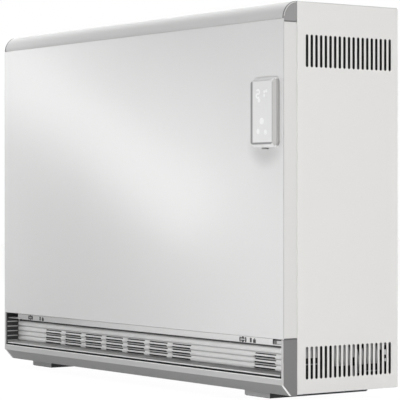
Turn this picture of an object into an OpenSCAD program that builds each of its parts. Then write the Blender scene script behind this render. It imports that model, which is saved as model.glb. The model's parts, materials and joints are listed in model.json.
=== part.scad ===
// Fan-assisted storage heater: a folded steel case around a core of heat-storing bricks,
// with a tangential fan, an air-mixing flap, a pull-off outlet grille and a touch control unit.
// Millimetres. X runs to the right, Y to the wall and Z up. The floor is Z = 0, and the origin
// is under the middle of the whole heater, the control unit included.

/* [Case] */
// Width across the side panels
body_w = 926; // [900:1:1200]
// Depth from the front panel to the wall side
body_d = 250; // [249:1:300]
// Height of the top above the floor
body_h = 672; // [640:1:760]
// Thickness of the side, rear and top sheets
sheet_t = 1.2; // [0.8:0.1:1.5]
// Thickness of the front panel
front_t = 1.5; // [1.2:0.1:2]
// Radius of the rounded nose above the front panel
nose_r = 30; // [22:1:34]
// Depth of the corner strips and end caps seen from the side
strip_d = 29; // [24:0.5:29.5]
// Width of the flanges folded inwards at the panel edges
flange_w = 14; // [10:1:18]
// How far the rear panel sits inside the side panels
rear_inset = 2; // [1.8:0.1:3]

/* [Side slots] */
// Number of slots in each row of a side panel
slot_count = 19; // [6:1:19]
// Width of a side slot
slot_w = 5; // [3:0.5:6]
// Length of a side slot
slot_len = 54.6; // [20:0.2:60]
// Height of the middle of the lower slot row
low_slot_z = 69; // [62:1:90]
// Distance of the upper slot row's middle below the top
high_slot_drop = 82; // [50:1:200]
// Distance of the first side slot behind the front face
slot_first = 50; // [42:1:56]
// Distance of the last side slot from the wall side
slot_last = 18.2; // [14:0.2:40]

/* [Feet] */
// Height of the feet
foot_h = 16; // [12:1:30]
// Width of a foot
foot_w = 72; // [40:1:80]
// Distance of a foot's front behind the front face
foot_set = 57; // [52:1:90]
// How far the feet reach behind the case, to keep it off the wall
foot_rear = 26; // [2:1:40]
// Distance of the left foot's middle from the left side
left_foot_set = 53; // [42:1:120]
// Distance of the right foot's middle from the right side
right_foot_set = 147; // [42:1:200]
// Thickness of the foot bracket steel
foot_t = 1.5; // [1:0.1:2.5]

/* [Front trim] */
// Height of the front panel's lower edge above the floor
panel_low = 110; // [106:1:118]
// Distance of the front panel's upper edge below the top
panel_drop = 30.5; // [30:0.1:34]
// Width of the lower end caps
cap_w = 6; // [4:0.5:10]
// Width of the upper end caps
top_cap_w = 3; // [2:0.5:5]
// Height of an upper end cap below the nose
top_cap_skirt = 5.5; // [4:0.5:8]
// Height of the rail's upper edge above the underside of the case
rail_h = 29; // [24:0.5:31]
// Height of the chamfer at the bottom front edge
chamfer_h = 18.5; // [10:0.5:20]
// Depth of the chamfer at the bottom front edge
chamfer_d = 16.5; // [8:0.5:17]
// Thickness of the bottom rail and floor pan steel
pan_t = 1.5; // [1:0.1:2]

/* [Outlet grille] */
// Distance of the ribs behind the front face
rib_set = 31; // [20:1:31]
// Distance of the ledge behind the front face
ledge_set = 5; // [2:0.5:8]
// Number of ribs
rib_count = 4; // [2:1:4]
// Distance between neighbouring ribs
rib_pitch = 9.65; // [8:0.05:9.8]
// How far a rib bulges forwards
rib_bulge = 3.2; // [1:0.1:3.6]
// Wall thickness of the grille moulding
grille_t = 3; // [2:0.1:3.4]
// Clearance between the grille and the end caps
grille_gap = 1.2; // [1:0.1:2]
// Number of groups of air gaps in front of the air duct
vent_count = 7; // [2:1:7]
// Width of the plain bar between neighbouring groups of air gaps
vent_gap = 14.2; // [8:0.1:30]
// Distance of the first group's middle from the left side
vent_first_set = 144; // [130:1:160]
// Distance of the last group's middle from the right side
vent_last_set = 336.8; // [330:0.1:350]
// Distance from the right side to the group that cools the switch compartment
switch_vent_set = 88; // [70:1:110]
// Height of the upper air gap of each rib
thin_gap = 1.5; // [1:0.1:2]
// Height of the lower air gap of each rib
bold_gap = 2.3; // [1.5:0.1:2.6]
// Width of the finger notch at each end of the ledge
notch_w = 28; // [20:1:40]

/* [Latches] */
// Distance of the right latch's middle from the right side
right_latch_set = 118.5; // [105:0.5:160]
// Distance of the left latch's middle from the left side
left_latch_set = 95.7; // [75:0.1:130]
// Radius of a latch's face
latch_r = 4.9; // [4:0.1:5.2]
// Radius of a latch's shaft
latch_shaft_r = 3; // [2:0.1:3.1]
// Reach of a latch's bolt from its middle
latch_reach = 9; // [8.5:0.1:11]

/* [Core] */
// Distance of the inner front panel behind the front face
inner_set = 31.6; // [31:0.1:38]
// Gap between neighbouring bricks in a row
brick_gap = 0.4; // [0.1:0.1:0.9]
// Thickness of the insulation under the bricks
base_board_t = 30; // [20:1:34]
// Thickness of the insulation in front of the bricks
front_board_t = 28; // [20:1:28]
// Thickness of the insulation behind the bricks
rear_board_t = 26; // [20:1:26]
// Thickness of the insulation on the left of the bricks
left_board_t = 31; // [20:1:40]
// Thickness of the insulation beside the switch compartment
right_board_t = 32; // [20:1:36]
// Thickness of the insulation above the bricks
top_board_t = 58; // [40:1:70]
// Width of the switch compartment
switch_w = 112; // [104:1:120]
// Height of the air compartment under the core
air_h = 98; // [94:1:104]

/* [Heating elements] */
// Radius of an element rod
element_r = 4.1; // [3:0.1:5]
// Height between the two legs of an element
element_span = 56; // [40:1:70]
// Clearance around an element rod
element_gap = 0.3; // [0.1:0.1:0.8]

/* [Air circuit] */
// Radius of the fan rotor
rotor_r = 30; // [24:1:31]
// Radius of the fan shaft
shaft_r = 4; // [3:0.1:5]
// Number of blades on the fan rotor
blade_count = 20; // [12:1:24]
// Running clearance of shafts and pivots
running = 0.05; // [0.03:0.01:0.09]
// Radius of the fan motor
motor_r = 28; // [24:1:32]
// Length of the fan motor
motor_l = 60; // [40:1:64]
// Length of the mixing flap from its pivot to its edge
flap_l = 34; // [26:1:36]
// Radius of the mixing flap's pivot rod
pivot_r = 2.5; // [2:0.1:3]
// Distance of the air duct's left end from the left side
duct_left_set = 101; // [90:1:110]
// Distance of the air duct's right end from the right side
duct_right_set = 291; // [280:1:300]

/* [Control unit] */
// Width of the control unit
unit_w = 70; // [60:1:72]
// Height of the control unit
unit_h = 117; // [100:1:130]
// Thickness of the control unit
unit_t = 12; // [11.5:0.5:18]
// Corner radius of the control unit
unit_r = 10; // [8:0.5:14]
// Width of the bevel round the control unit's front
unit_bevel = 5; // [3:0.5:6]
// Distance of the control unit's middle from the right side
unit_set = 45; // [39:0.5:60]
// Middle of the control unit below the top of the heater
unit_drop = 185; // [120:1:260]
// Wall thickness of the control unit's housing
unit_wall = 1.5; // [1.2:0.1:2]
// Thickness of the control unit's touch glass
glass_t = 2; // [1.5:0.1:2.5]
// Width of the rim between the touch glass and the bevel
unit_rim = 2; // [1:0.1:4]
// Travel of the release tab under the control unit
tab_travel = 2; // [1:0.1:2.5]

/* [Fixings] */
// Radius of the wall-fixing holes
wall_hole_r = 3.5; // [2.5:0.1:5]
// Distance between the wall-fixing holes
wall_hole_span = 600; // [400:10:700]
// Distance of the wall-fixing holes below the top
wall_hole_drop = 50; // [40:1:90]
// Radius of the supply cable's bore in the grommet
cable_r = 6.5; // [4:0.1:7]
// Travel of the safety cut-out's reset button
reset_travel = 1.5; // [1:0.1:2]
// Radius of the safety cut-out's reset button
reset_r = 2.5; // [2:0.1:3]

/* [Hidden] */
$fn = 64;

// Case planes
hw = body_w / 2;
front_y = (unit_t - body_d - foot_rear) / 2;
rear_y = front_y + body_d;
foot_y0 = front_y + foot_set;
foot_y1 = rear_y + foot_rear;
side_in = hw - sheet_t;
top_in = body_h - sheet_t;
base_z = foot_h;
pan_z = base_z + pan_t;
pan_top = pan_z + pan_t;
back_out = rear_y - rear_inset;
back_in = back_out - sheet_t;
seam = 0.4;
slot_pitch = (body_d - slot_first - slot_last) / (slot_count - 1);
left_foot_x = hw - left_foot_set;
right_foot_x = hw - right_foot_set;
face_gap = 0.3;
slide_gap = 0.2;

// Front trim
cap_in = hw - cap_w;
panel_top = body_h - panel_drop;
nose_z = body_h - nose_r;
strip_y = front_y + strip_d;
cap_top = panel_low + front_t + 0.1;
post_z0 = cap_top + seam;
top_cap_z = nose_z - top_cap_skirt;
post_z1 = top_cap_z - seam;
post_leg = 24;
panel_flange = 7;
rail_top = base_z + rail_h;
chamfer_z = base_z + chamfer_h;
chamfer_run = sqrt(chamfer_h * chamfer_h + chamfer_d * chamfer_d);
rail_lip = 10;
rail_flange = 45;

// Outlet grille
rib_y = front_y + rib_set;
ledge_y = front_y + ledge_set;
grille_hw = cap_in - grille_gap;
grille_z = rail_top + 3;
lip_y = front_y + 3;
lip_h = 2.2;
rib_z0 = grille_z + 4.9;
ledge_top = panel_low - 0.8;
ledge_z = panel_low - 11.5;
web_y = rib_y + grille_t + 2;
rib_top = rib_z0 + rib_count * rib_pitch + 1;
rib_r = (rib_pitch * rib_pitch / 4 + rib_bulge * rib_bulge) / (2 * rib_bulge);
vent_pitch = (body_w - vent_first_set - vent_last_set) / (vent_count - 1);
vent_w = vent_pitch - vent_gap;
vent_x0 = -hw + vent_first_set;
vent_x1 = hw - vent_last_set;
filter_x0 = vent_x0 - vent_w / 2 - 8;
filter_x1 = vent_x1 + vent_w / 2 + 8;
filter_t = 1.8;
latch_z = (ledge_z + ledge_top) / 2;
left_latch_x = hw - left_latch_set;
right_latch_x = hw - right_latch_set;
latch_bolt = 2.4;
latch_proud = 0.6;

// Core
wall_x = hw - switch_w;
core_right = wall_x - sheet_t - right_board_t;
boards_left = -(hw - flange_w);
core_left = boards_left + left_board_t;
boards_right = wall_x - sheet_t;
shelf_z = pan_top + air_h;
shelf_top = shelf_z + pan_t;
core_z = shelf_top + base_board_t;
layer_count = 4;
core_top = top_in - top_board_t;
inner_y = front_y + inner_set;
board_front = inner_y + sheet_t;
core_front = board_front + front_board_t;
core_rear = back_in - rear_board_t;
core_mid = (core_front + core_rear) / 2;
row_count = 3;
brick_l = (core_right - core_left - (row_count - 1) * brick_gap) / row_count;
brick_d = core_mid - core_front;
brick_h = (core_top - core_z) / layer_count;
flue_w = 30;
flue_d = 12;

// Heating elements
element_bend = element_span / 2;
element_x0 = core_left + element_bend + element_r + 3;
element_x1 = wall_x + 16;

// Air circuit
duct_y0 = rib_y + grille_t + filter_t + 3;
duct_left = hw - duct_left_set;
duct_right = hw - duct_right_set;
duct_z0 = base_z + 34;
duct_z1 = shelf_z - 14;
rotor_z = pan_top + motor_r + 12;
rotor_y = back_in - rotor_r - 20;
rotor_x0 = -duct_left + 12;
rotor_x1 = duct_right - 12;
scroll_gap = 6;
scroll_r = rotor_r + scroll_gap;
bearing_l = 10;
motor_x0 = duct_right + 14;
pivot_y = duct_y0 + flap_l + 2;
pivot_z = duct_z1 - sheet_t - pivot_r - 1;
scroll_out = scroll_r + sheet_t + 1;
intake_count = 4;
intake_w = 56;
intake_d = 40;
intake_pitch = 80;
rear_vent_count = 24;
rear_vent_x0 = -duct_left + 32;
rear_vent_x1 = duct_right - 42;

// Switch compartment
board_x = wall_x + 8;
board_h = 190;
board_w = 67;
relay_t = 15;
relay_w = 20;
relay_h = 28;
relay_pitch = 28;
supply_t = 28;
supply_w = 42;
supply_h = 40;
terminal_t = 22;
terminal_w = 76;
terminal_h = 24;
terminal_z = shelf_z + 33;
terminal_y = core_mid - 5;
cable_x = hw - 48;
cable_z = pan_top + 24;
clamp_w = 40;
clamp_d = 12;
clamp_set = 34;
cutout_z = body_h - 202;
cutout_y = core_rear - 35;
cutout_l = 15;
sensor_z = core_z + 3.5 * brick_h;
sensor_y = core_mid + 30;
sensor_r = 3;
lead_x = wall_x + 10;
lead_r = 3;
trunk_y = core_mid - 24;
board_y1 = trunk_y - lead_r - 6;
board_y0 = board_y1 - board_w;

// Control unit
unit_x = hw - unit_set;
unit_z = body_h - unit_drop;
board_z1 = unit_z + 33;
board_z0 = board_z1 - board_h;
unit_front = front_y - unit_t;
glass_y = unit_front + glass_t;
glass_proud = 0.3;
glass_gap = 0.5;
glass_w = unit_w - 2 * (unit_bevel + unit_rim);
glass_h = unit_h - 2 * (unit_bevel + unit_rim);
glass_r = 2;
shell_y = glass_y + unit_wall;
cavity_in = max(unit_wall, unit_bevel + glass_proud + unit_wall / 2 - glass_t);
cavity_w = unit_w - 2 * cavity_in;
cavity_h = unit_h - 2 * cavity_in;
bevel_y = unit_front + unit_bevel;
bracket_t = 2;
bracket_in = 4;
lead_hole_r = 3;
board_t = 1.6;
board_post = 2;
tab_w = 14;
tab_d = 4;
tab_head = 1.5;
tab_y = (front_y + bevel_y - tab_d) / 2;
tab_proud = 2.5;

// A block between two corners
module block(x0, x1, y0, y1, z0, z1) {
    translate([x0, y0, z0]) cube([x1 - x0, y1 - y0, z1 - z0]);
}

// A flat outline, drawn in Y and Z, carried along X
module along_x(x0, x1) {
    translate([x0, 0, 0]) rotate([90, 0, 90]) linear_extrude(x1 - x0) children();
}

// A flat outline, drawn in X and Z, carried along Y
module along_y(y0, y1) {
    translate([0, y1, 0]) rotate([90, 0, 0]) linear_extrude(y1 - y0) children();
}

// Round bars along each axis
module bar_x(x0, x1, y, z, r) {
    translate([x0, y, z]) rotate([0, 90, 0]) cylinder(h = x1 - x0, r = r);
}
module bar_y(y0, y1, x, z, r) {
    translate([x, y1, z]) rotate([90, 0, 0]) cylinder(h = y1 - y0, r = r);
}
module bar_z(z0, z1, x, y, r) {
    translate([x, y, z0]) cylinder(h = z1 - z0, r = r);
}

// The same piece on the left when side is -1
module on_side(side) {
    if (side < 0) mirror([1, 0, 0]) children();
    else children();
}

// A straight slot with round ends, standing upright
module slot_outline(w, len) {
    square([w, len - w], center = true);
    for (end = [-1, 1]) translate([0, end * (len - w) / 2]) circle(d = w);
}

// A rectangle with rounded corners about its middle
module round_outline(w, h, r) {
    square([w - 2 * r, h], center = true);
    square([w, h - 2 * r], center = true);
    for (sx = [-1, 1], sz = [-1, 1])
        translate([sx * (w / 2 - r), sz * (h / 2 - r)]) circle(r = r);
}

// ---- Case ----

module floor_pan() {
    color("gainsboro") difference() {
        union() {
            block(-side_in, side_in, strip_y + 1, back_in, pan_z, pan_top);
            block(-cap_in + seam, cap_in - seam, front_y + chamfer_d + pan_t, strip_y + 1,
                pan_z, pan_top);
            for (side = [-1, 1]) on_side(side)
                block(side_in - pan_t, side_in, strip_y + 2 + sheet_t, back_in - flange_w,
                    pan_z, pan_top + 12);
        }
        for (x = screw_xs()) bar_z(pan_z - 1, pan_top + 1, x, screw_y(), screw_r);
        for (i = [0 : intake_count - 1]) {
            x = (duct_right - duct_left) / 2 + (i - (intake_count - 1) / 2) * intake_pitch;
            block(x - intake_w / 2, x + intake_w / 2, rotor_y - intake_d / 2,
                rotor_y + intake_d / 2, pan_z - 1, pan_top + 1);
        }
    }
}

module foot(x) {
    x0 = x - foot_w / 2;
    x1 = x + foot_w / 2;
    color("darkgray") {
        block(x0, x1, foot_y0, foot_y1, base_z, pan_z);
        block(x0, x1, foot_y0, foot_y0 + foot_t, 1, base_z);
        block(x0, x1, foot_y1 - foot_t, foot_y1, 1, base_z);
    }
}

module foot_pad(x) {
    y0 = foot_y0 + foot_t;
    y1 = foot_y1 - foot_t;
    wall = 4;
    mid = (y0 + y1) / 2;
    color([0.12, 0.12, 0.12]) difference() {
        block(x - foot_w / 2 + 0.5, x + foot_w / 2 - 0.5, y0, y1, 0, base_z);
        for (ys = [[y0 + wall, mid - wall / 2], [mid + wall / 2, y1 - wall]])
            block(x - foot_w / 2 + wall, x + foot_w / 2 - wall, ys[0], ys[1],
                -1, base_z - wall);
    }
}

module rear_panel() {
    step = (rear_vent_x1 - rear_vent_x0) / (rear_vent_count - 1);
    color("white") difference() {
        block(-side_in, side_in, back_in, back_out, pan_z, top_in);
        along_y(back_in - 1, back_out + 1)
            for (i = [0 : rear_vent_count - 1])
                translate([rear_vent_x0 + i * step, low_slot_z])
                    slot_outline(slot_w, slot_len);
        for (side = [-1, 1])
            bar_y(back_in - 1, back_out + 1, side * wall_hole_span / 2, wall_hole_z(),
                wall_hole_r);
        bar_y(back_in - 1, back_out + 1, cable_x, cable_z, cable_r + 2.5);
        for (x = rear_screw_xs(), z = rear_screw_zs())
            bar_y(back_in - 1, back_out + 1, x, z, screw_r);
    }
}

module side_panel(side) {
    color("white") on_side(side) difference() {
        union() {
            block(side_in, hw, strip_y + face_gap, rear_y, base_z, top_in);
            block(hw - flange_w, hw, strip_y + face_gap, strip_y + face_gap + sheet_t,
                panel_low, top_in - face_gap);
            block(hw - flange_w, hw, back_in - sheet_t, back_in, pan_top, top_in);
        }
        along_x(side_in - 1, hw + 1)
            for (i = [0 : slot_count - 1], z = [low_slot_z, body_h - high_slot_drop])
                translate([front_y + slot_first + i * slot_pitch, z])
                    slot_outline(slot_w, slot_len);
        for (z = rear_screw_zs())
            bar_y(back_in - sheet_t - 1, back_in + 1, hw - flange_w / 2, z, screw_r);
    }
}

// The nose is a quarter round, with a flange that tucks behind the front panel
module top_cover() {
    color("white") {
        block(-hw, hw, front_y + nose_r, rear_y, top_in, body_h);
        along_x(-hw + top_cap_w, hw - top_cap_w) {
            intersection() {
                translate([front_y + nose_r, nose_z]) difference() {
                    circle(r = nose_r, $fn = 96);
                    circle(r = nose_r - sheet_t, $fn = 96);
                }
                translate([front_y, nose_z]) square([nose_r, nose_r]);
            }
            translate([front_y + 0.3, nose_z + 0.3])
                square([front_t + sheet_t - 0.3, 3]);
        }
        block(-hw + post_leg + 1, hw - post_leg - 1, front_y + front_t,
            front_y + front_t + sheet_t, nose_z - 20, nose_z + 3);
        block(-side_in, side_in, back_out, back_out + sheet_t, top_in - 14, top_in);
    }
}

module front_panel() {
    color("white") difference() {
        union() {
            block(-hw, hw, front_y, front_y + front_t, panel_low, panel_top);
            block(-cap_in + seam, cap_in - seam, front_y, front_y + panel_flange,
                panel_low, panel_low + front_t);
        }
        bar_y(front_y - 1, front_y + front_t + 1, unit_x, unit_z, lead_hole_r + 1);
        for (s = [-1, 1])
            bar_y(front_y - 1, front_y + front_t + 1, unit_x, unit_z + s * unit_screw_z(),
                unit_screw_r + 0.1);
    }
}

// A folded upright behind each front corner: its outer leg is the strip seen on the side
module front_post(side) {
    y0 = front_y + front_t;
    color("whitesmoke") on_side(side) translate([0, 0, post_z0])
        linear_extrude(post_z1 - post_z0) polygon([
            [hw - post_leg, y0], [side_in, y0], [hw, y0 + sheet_t], [hw, strip_y],
            [hw - flange_w, strip_y], [hw - flange_w, strip_y - sheet_t],
            [side_in, strip_y - sheet_t], [side_in, y0 + sheet_t],
            [hw - post_leg, y0 + sheet_t]]);
}

module top_cap(side) {
    y0 = front_y + front_t + face_gap;
    color("darkgray") on_side(side) {
        along_x(hw - top_cap_w, hw) {
            intersection() {
                translate([front_y + nose_r, nose_z]) circle(r = nose_r, $fn = 96);
                translate([front_y, nose_z]) square([strip_d, nose_r]);
            }
            polygon([[y0, top_cap_z], [strip_y - 3, top_cap_z], [strip_y, top_cap_z + 3],
                [strip_y, nose_z + 1], [y0, nose_z + 1]]);
        }
        along_x(hw - top_cap_w - 8, hw - top_cap_w) intersection() {
            translate([front_y + nose_r, nose_z]) circle(r = nose_r - sheet_t - face_gap);
            translate([front_y, nose_z + 4]) square([strip_d, nose_r]);
        }
    }
}

// A lower end cap, with small ridges on its inner face level with the grille's grooves
module bottom_cap(side) {
    step_y = front_y + front_t + face_gap;
    color("gray") on_side(side) {
        along_x(cap_in, hw) polygon([
            [front_y, chamfer_z], [front_y + chamfer_d, base_z], [strip_y, base_z],
            [strip_y, cap_top], [step_y, cap_top], [step_y, panel_low - seam],
            [front_y, panel_low - seam]]);
        for (i = [0 : rib_count])
            block(cap_in - 0.8, cap_in, front_y + 3, strip_y - 2,
                rib_z0 + i * rib_pitch - 0.6, rib_z0 + i * rib_pitch + 0.6);
    }
}

// The rail is one folded strip: top lip, front, chamfer and a flange under the floor pan
module bottom_rail() {
    t = pan_t;
    in_z = chamfer_z + t * (chamfer_run - chamfer_h) / chamfer_d;
    in_y = front_y + chamfer_d + t * (chamfer_run - chamfer_d) / chamfer_h;
    color("silver") difference() {
        along_x(-cap_in, cap_in) polygon([
            [front_y + rail_lip, rail_top], [front_y, rail_top], [front_y, chamfer_z],
            [front_y + chamfer_d, base_z], [front_y + rail_flange, base_z],
            [front_y + rail_flange, pan_z], [in_y, pan_z], [front_y + t, in_z],
            [front_y + t, rail_top - t], [front_y + rail_lip, rail_top - t]]);
        for (x = screw_xs()) bar_z(base_z - 1, pan_z + 1, x, screw_y(), screw_r);
    }
}

// ---- Outlet grille ----

// Ledge, ribs and lip in one section: points are Y and Z
module grille_outline() {
    rear = rib_y + grille_t;
    polygon([
        [ledge_y, ledge_top], [ledge_y, ledge_z], [web_y, ledge_z], [web_y, rib_top],
        [rib_y, rib_top], [rib_y, rib_z0], [lip_y, grille_z + lip_h], [lip_y, grille_z],
        [rear, grille_z], [rear, rib_top - 2], [web_y + 2, rib_top - 2],
        [web_y + 2, ledge_z + 2], [ledge_y + grille_t, ledge_z + 2],
        [ledge_y + grille_t, ledge_top]]);
    for (i = [0 : rib_count - 1]) intersection() {
        translate([rib_y + rib_r - rib_bulge, rib_z0 + (i + 0.5) * rib_pitch])
            circle(r = rib_r, $fn = 96);
        translate([rib_y - rib_bulge, rib_z0 + i * rib_pitch])
            square([rib_bulge + 1, rib_pitch]);
    }
}

function vent_xs() = concat([for (i = [0 : vent_count - 1]) vent_x0 + i * vent_pitch],
    [hw - switch_vent_set]);

module outlet_grille() {
    color("gainsboro") difference() {
        union() {
            difference() {
                along_x(-grille_hw, grille_hw) grille_outline();
                for (side = [-1, 1]) on_side(side)
                    block(grille_hw - notch_w, grille_hw + 1, ledge_y - 1,
                        ledge_y + grille_t + 0.01, ledge_z + 2, ledge_top + 1);
            }
            // Finger pads at the back of the two end notches
            for (side = [-1, 1]) on_side(side)
                block(grille_hw - notch_w, grille_hw, ledge_y + 9, ledge_y + 11,
                    ledge_z + 1, ledge_top - 3);
            // Small feet that slide on the rail's lip
            for (x = [-0.75, -0.25, 0.25, 0.75] * (grille_hw - 16))
                block(x - 4, x + 4, front_y + 5, front_y + rail_lip, rail_top,
                    grille_z + 1);
        }
        for (x = vent_xs(), row = [0 : min(2, rib_count - 2)]) {
            mid = rib_z0 + (row + 0.5) * rib_pitch;
            bar_h = rib_pitch * 0.35;
            block(x - vent_w / 2 + 1.5, x + vent_w / 2 + 1.5, rib_y - rib_bulge - 1,
                rib_y + grille_t + 1, mid + bar_h / 2, mid + bar_h / 2 + thin_gap);
            block(x - vent_w / 2 - 1.5, x + vent_w / 2 - 1.5, rib_y - rib_bulge - 1,
                rib_y + grille_t + 1, mid - bar_h / 2 - bold_gap, mid - bar_h / 2);
        }
        for (x = [-left_latch_x, right_latch_x])
            bar_y(ledge_y - 1, ledge_y + grille_t + 1, x, latch_z, latch_shaft_r + running);
    }
}

module lint_filter() {
    y0 = rib_y + grille_t;
    z0 = grille_z + 2;
    z1 = rib_top - 2.2;
    cells = 12;
    bar = 3;
    cell = (filter_x1 - filter_x0 - bar) / cells;
    color("dimgray") {
        difference() {
            block(filter_x0, filter_x1, y0, y0 + filter_t, z0, z1);
            for (i = [0 : cells - 1])
                block(filter_x0 + bar + i * cell, filter_x0 + (i + 1) * cell,
                    y0 - 1, y0 + filter_t + 1, z0 + bar, z1 - bar);
        }
        block(filter_x0 + 1, filter_x1 - 1, y0 + filter_t - 0.5, y0 + filter_t,
            z0 + 1, z1 - 1);
    }
}

// Face, shaft and bolt: the bolt lies level here, and stands up behind the panel's flange
module latch(x) {
    bolt_y = ledge_y + grille_t + slide_gap;
    color("dimgray") difference() {
        union() {
            bar_y(ledge_y - latch_proud, ledge_y, x, latch_z, latch_r);
            bar_y(ledge_y - 0.1, bolt_y + latch_bolt, x, latch_z, latch_shaft_r);
            block(x - latch_reach, x, bolt_y, bolt_y + latch_bolt, latch_z - 2,
                latch_z + 2);
        }
        block(x - latch_r, x + latch_r, ledge_y - latch_proud - 1, ledge_y + 0.6,
            latch_z - 0.7, latch_z + 0.7);
    }
}

// ---- Core ----

module core_shelf() {
    leg = 24;
    color("silver") difference() {
        union() {
            block(boards_left, boards_right, inner_y, back_in, shelf_z, shelf_top);
            for (x = [boards_left, boards_right - leg]) {
                block(x, x + leg, duct_y0, duct_y0 + pan_t, pan_top, shelf_z);
                block(x, x + leg, back_in - sheet_t - pan_t, back_in - sheet_t,
                    pan_top, shelf_z);
            }
        }
        shelf_flues(shelf_z - 1, shelf_top + 1);
    }
}

// Two long air flues through the shelf and the board under the bricks
module shelf_flues(z0, z1) {
    for (y = [core_front + 12, core_rear - 32])
        block(-duct_left + 20, duct_right - 20, y, y + 20, z0, z1);
}

module inner_front_panel() {
    color("silver") block(boards_left, boards_right, inner_y, board_front,
        shelf_top, top_in);
}

module compartment_wall() {
    color("silver") difference() {
        union() {
            block(boards_right, wall_x, inner_y, back_in, shelf_z, top_in);
            block(boards_right, wall_x, duct_y0, back_in, pan_top, shelf_z + 1);
        }
        element_holes(boards_right - 1, wall_x + 1);
        bar_x(boards_right - 1, wall_x + 1, sensor_y, sensor_z, sensor_r + element_gap);
    }
}

module base_insulation() {
    color("beige") difference() {
        block(boards_left, boards_right, board_front, back_in, shelf_top, core_z);
        shelf_flues(shelf_top - 1, core_z + 1);
    }
}

module front_insulation() {
    color("beige") block(boards_left, boards_right, board_front, core_front,
        core_z, core_top);
}

module rear_insulation() {
    color("beige") block(boards_left, boards_right, core_rear, back_in, core_z, core_top);
}

module left_insulation() {
    color("beige") block(boards_left, core_left, core_front, core_rear, core_z, core_top);
}

module right_insulation() {
    color("beige") difference() {
        block(core_right, boards_right, core_front, core_rear, core_z, core_top);
        element_holes(core_right - 1, boards_right + 1);
        bar_x(core_right - 1, boards_right + 1, sensor_y, sensor_z,
            sensor_r + element_gap);
    }
}

module top_insulation() {
    color("beige") block(boards_left, boards_right, board_front, back_in,
        core_top, top_in);
}

function layer_z(i) = core_z + (i - 1) * brick_h;
function element_z(i) = layer_z(i) + brick_h / 2;

// Round holes for the legs of all elements
module element_holes(x0, x1) {
    for (i = [1 : layer_count], s = [-1, 1])
        bar_x(x0, x1, core_mid, element_z(i) + s * element_bend, element_r + element_gap);
}

// One layer: two rows of three bricks, grooved for the element, with air flues between
module bricks_layer(i) {
    z0 = layer_z(i);
    color("saddlebrown") difference() {
        for (n = [0 : row_count - 1], y = [core_front, core_mid + brick_gap / 2]) {
            x = core_left + n * (brick_l + brick_gap);
            difference() {
                block(x, x + brick_l, y, y + brick_d - brick_gap / 2, z0, z0 + brick_h);
                for (f = [0.2, 0.8])
                    block(x + f * brick_l - flue_w / 2, x + f * brick_l + flue_w / 2,
                        core_mid - flue_d, core_mid + flue_d, z0 - 1, z0 + brick_h + 1);
            }
        }
        for (s = [-1, 1])
            bar_x(element_x0, core_right + 1, core_mid, element_z(i) + s * element_bend,
                element_r + element_gap);
        block(element_x0 - element_bend - element_r - 1, element_x0 + 0.1,
            core_mid - element_r - element_gap, core_mid + element_r + element_gap,
            element_z(i) - element_bend - element_r - 1,
            element_z(i) + element_bend + element_r + 1);
    }
}

// A hairpin rod: two straight legs and a half-round bend
module heating_element(i) {
    color("lightslategray") {
        for (s = [-1, 1]) {
            bar_x(element_x0, element_x1 - 12, core_mid, element_z(i) + s * element_bend,
                element_r);
            bar_x(element_x1 - 12.1, element_x1, core_mid,
                element_z(i) + s * element_bend, element_r / 2);
        }
        translate([element_x0, core_mid, element_z(i)]) rotate([90, 0, 0])
            rotate([0, 0, 90]) rotate_extrude(angle = 180)
                translate([element_bend, 0]) circle(r = element_r);
    }
}

// ---- Air circuit ----

// Duct from the fan to the grille, with the fan's scroll in one folding
module air_duct() {
    x0 = -duct_left;
    x1 = duct_right;
    color("lightgray") difference() {
        union() {
            for (x = [x0, x1 - sheet_t])
                block(x, x + sheet_t, duct_y0, back_in - 8, pan_top, duct_z1);
            block(x0, x1, duct_y0, rotor_y - scroll_r - 4, duct_z1 - sheet_t, duct_z1);
            block(x0, x1, duct_y0, rotor_y - scroll_r - 4, duct_z0, duct_z0 + sheet_t);
            along_x(x0, x1) intersection() {
                translate([rotor_y, rotor_z]) difference() {
                    circle(r = scroll_r + sheet_t);
                    circle(r = scroll_r);
                }
                translate([rotor_y, rotor_z - scroll_out])
                    square([scroll_out, 2 * scroll_out]);
            }
        }
        bar_x(x0 - 1, x0 + sheet_t + 1, rotor_y, rotor_z, shaft_r + 3);
        bar_x(x1 - sheet_t - 1, x1 + 1, rotor_y, rotor_z, shaft_r + 3);
        bar_x(x0 - 1, x1 + 1, pivot_y, pivot_z, pivot_r + running);
    }
}

module mixing_flap() {
    color("silver") {
        bar_x(-duct_left - 3, duct_right + 6, pivot_y, pivot_z, pivot_r);
        block(-duct_left + 3, duct_right - 3, pivot_y - flap_l, pivot_y,
            pivot_z - sheet_t / 2, pivot_z + sheet_t / 2);
    }
}

module flap_motor() {
    x0 = duct_right;
    color("dimgray") difference() {
        union() {
            block(x0, x0 + 2, pivot_y - 16, pivot_y + 16, pivot_z - 9, pivot_z + 9);
            bar_x(x0, x0 + 16, pivot_y, pivot_z, 9);
        }
        bar_x(x0 - 1, x0 + 8, pivot_y, pivot_z, pivot_r + running);
    }
}

// Cross-flow rotor: five discs, a ring of blades and the shaft
module fan_rotor() {
    discs = 5;
    color("gainsboro") {
        bar_x(-duct_left - bearing_l, motor_x0 + 12, rotor_y, rotor_z, shaft_r);
        for (i = [0 : discs - 1])
            bar_x(rotor_x0 + i * (rotor_x1 - rotor_x0 - 2) / (discs - 1),
                rotor_x0 + i * (rotor_x1 - rotor_x0 - 2) / (discs - 1) + 2,
                rotor_y, rotor_z, rotor_r);
        for (i = [0 : blade_count - 1])
            translate([rotor_x0, rotor_y, rotor_z]) rotate([i * 360 / blade_count, 0, 0])
                translate([0, rotor_r - 5, 0]) rotate([25, 0, 0])
                    translate([0, -4, -0.5]) cube([rotor_x1 - rotor_x0, 8, 1]);
    }
}

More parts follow.
